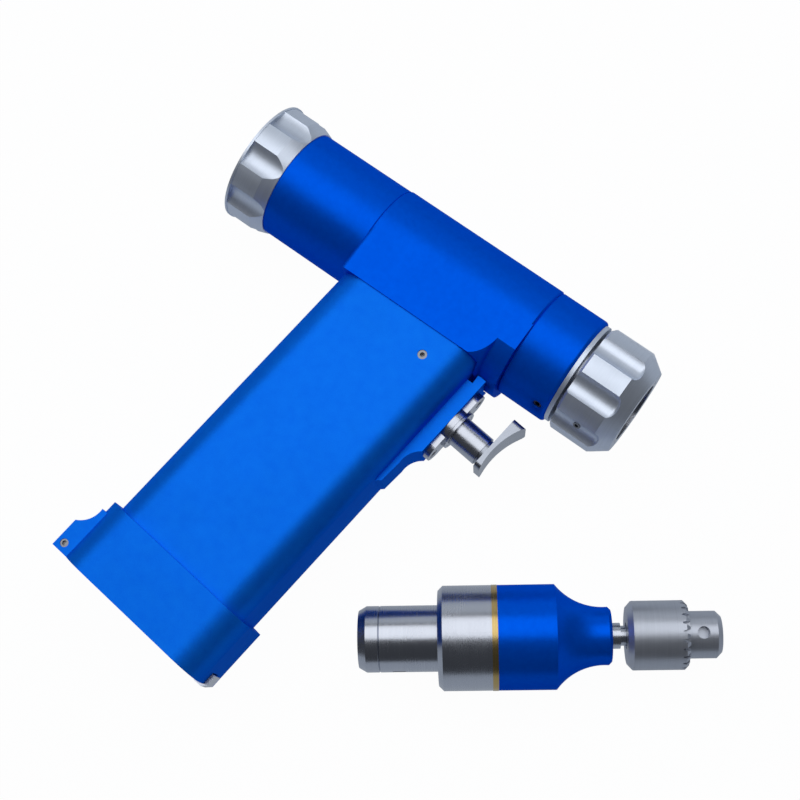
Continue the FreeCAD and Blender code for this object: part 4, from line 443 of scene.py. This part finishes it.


# Table, backdrop and light, with a painted reflection glow on the table

WHITE = (1.0, 1.0, 1.0, 1.0)
STAGE_SIZE = 6.0
TABLE_GREY = (0.32, 0.34, 0.40, 1.0)
TABLE_ROUGH = 0.9
TABLE_GLOW = 1.05
GLOW_SHARE = 0.93
# Painted reflection: for glossy rays the table glows pale blue, a painted reflection that brightens the
# lower edges of the parts
PAINTED_REFLECTION_COLOUR, PAINTED_REFLECTION_GLOW, PAINTED_REFLECTION_SHARE = (0.84, 0.91, 1.0, 1.0), 0.62, 0.8
ROOM_COLOUR, ROOM = (0.80, 0.84, 0.92, 1.0), 0.08

def mixed_shader(tree, share, first, second):
    """The output of a mix of two shaders; share is how much of the second there is."""
    mix = put(tree, "ShaderNodeMixShader")
    for index, source in enumerate((share, first, second)):
        join(tree, source, mix.inputs[index])
    return mix.outputs[0]


def stage_plane(name, size, place):
    """A square plane that is no part of the object."""
    mesh = bpy.data.meshes.new(name)
    half = size / 2
    corners = [(-half, -half, 0), (half, -half, 0), (half, half, 0), (-half, half, 0)]
    points = [tuple(np.add(corner, place)) for corner in corners]
    mesh.from_pydata(points, [], [(0, 1, 2, 3)])
    made = bpy.data.objects.new(name, mesh)
    scene.collection.objects.link(made)
    return made


table = stage_plane("table", STAGE_SIZE, (0.0, -0.07, TABLE))
table_look = bpy.data.materials.new("white_table")
table_look.use_nodes = True
tree = table_look.node_tree
bsdf = tree.nodes["Principled BSDF"]
bsdf.inputs["Base Color"].default_value = TABLE_GREY
bsdf.inputs["Roughness"].default_value = TABLE_ROUGH
path = put(tree, "ShaderNodeLightPath")
seen = maths(tree, "MAXIMUM", path.outputs["Is Camera Ray"], path.outputs["Is Transmission Ray"])
glow = put(tree, "ShaderNodeEmission", {"Color": WHITE, "Strength": TABLE_GLOW})
painted_reflection = put(tree, "ShaderNodeEmission", {"Color": PAINTED_REFLECTION_COLOUR, "Strength": PAINTED_REFLECTION_GLOW})
glowing = maths(tree, "MULTIPLY", seen, GLOW_SHARE)
blend = mixed_shader(tree, glowing, bsdf.outputs[0], glow.outputs[0])
# Glossy rays see mostly the painted reflection glow instead of the lit table
painted_reflection_amount = maths(tree, "MULTIPLY", path.outputs["Is Glossy Ray"], PAINTED_REFLECTION_SHARE)
with_painted_reflection = mixed_shader(tree, painted_reflection_amount, blend, painted_reflection.outputs[0])
join(tree, with_painted_reflection, tree.nodes["Material Output"].inputs["Surface"])
table.data.materials.append(table_look)

world = bpy.data.worlds.new("studio")
scene.world = world
world.use_nodes = True
tree = world.node_tree
background = tree.nodes["Background"]
background.inputs["Color"].default_value = ROOM_COLOUR
background.inputs["Strength"].default_value = ROOM
white = put(tree, "ShaderNodeBackground", {"Color": WHITE, "Strength": 1.0})
path = put(tree, "ShaderNodeLightPath")
blend = mixed_shader(tree, path.outputs["Is Camera Ray"], background.outputs[0], white.outputs[0])
join(tree, blend, tree.nodes["World Output"].inputs["Surface"])


def softbox(name, place, target, size, power, colour=(1.0, 1.0, 1.0)):
    """A rectangular area light that faces a target."""
    data = bpy.data.lights.new(name, "AREA")
    data.shape = "RECTANGLE"
    data.size, data.size_y = size
    data.energy = power
    data.color = colour
    lamp = bpy.data.objects.new(name, data)
    scene.collection.objects.link(lamp)
    way = Vector(target) - Vector(place)
    aim = way.to_track_quat("-Z", "Y").to_matrix().to_4x4()
    lamp.matrix_world = Matrix.Translation(Vector(place)) @ aim


MIDDLE = (-0.05, -0.07, 0.0)
COOL = (0.90, 0.95, 1.0)
middle = Vector(MIDDLE)


def from_view(sideways, upward, toward):
    """A place given in the camera's directions from the middle of the object."""
    return middle + right * sideways - down * upward - ahead * toward


softbox("overhead", from_view(-0.05, 0.42, 0.74), middle, (1.2, 0.75), 4.5)
softbox("upper_side", from_view(0.0, 0.95, 0.18), middle, (1.6, 0.6), 1.8, COOL)
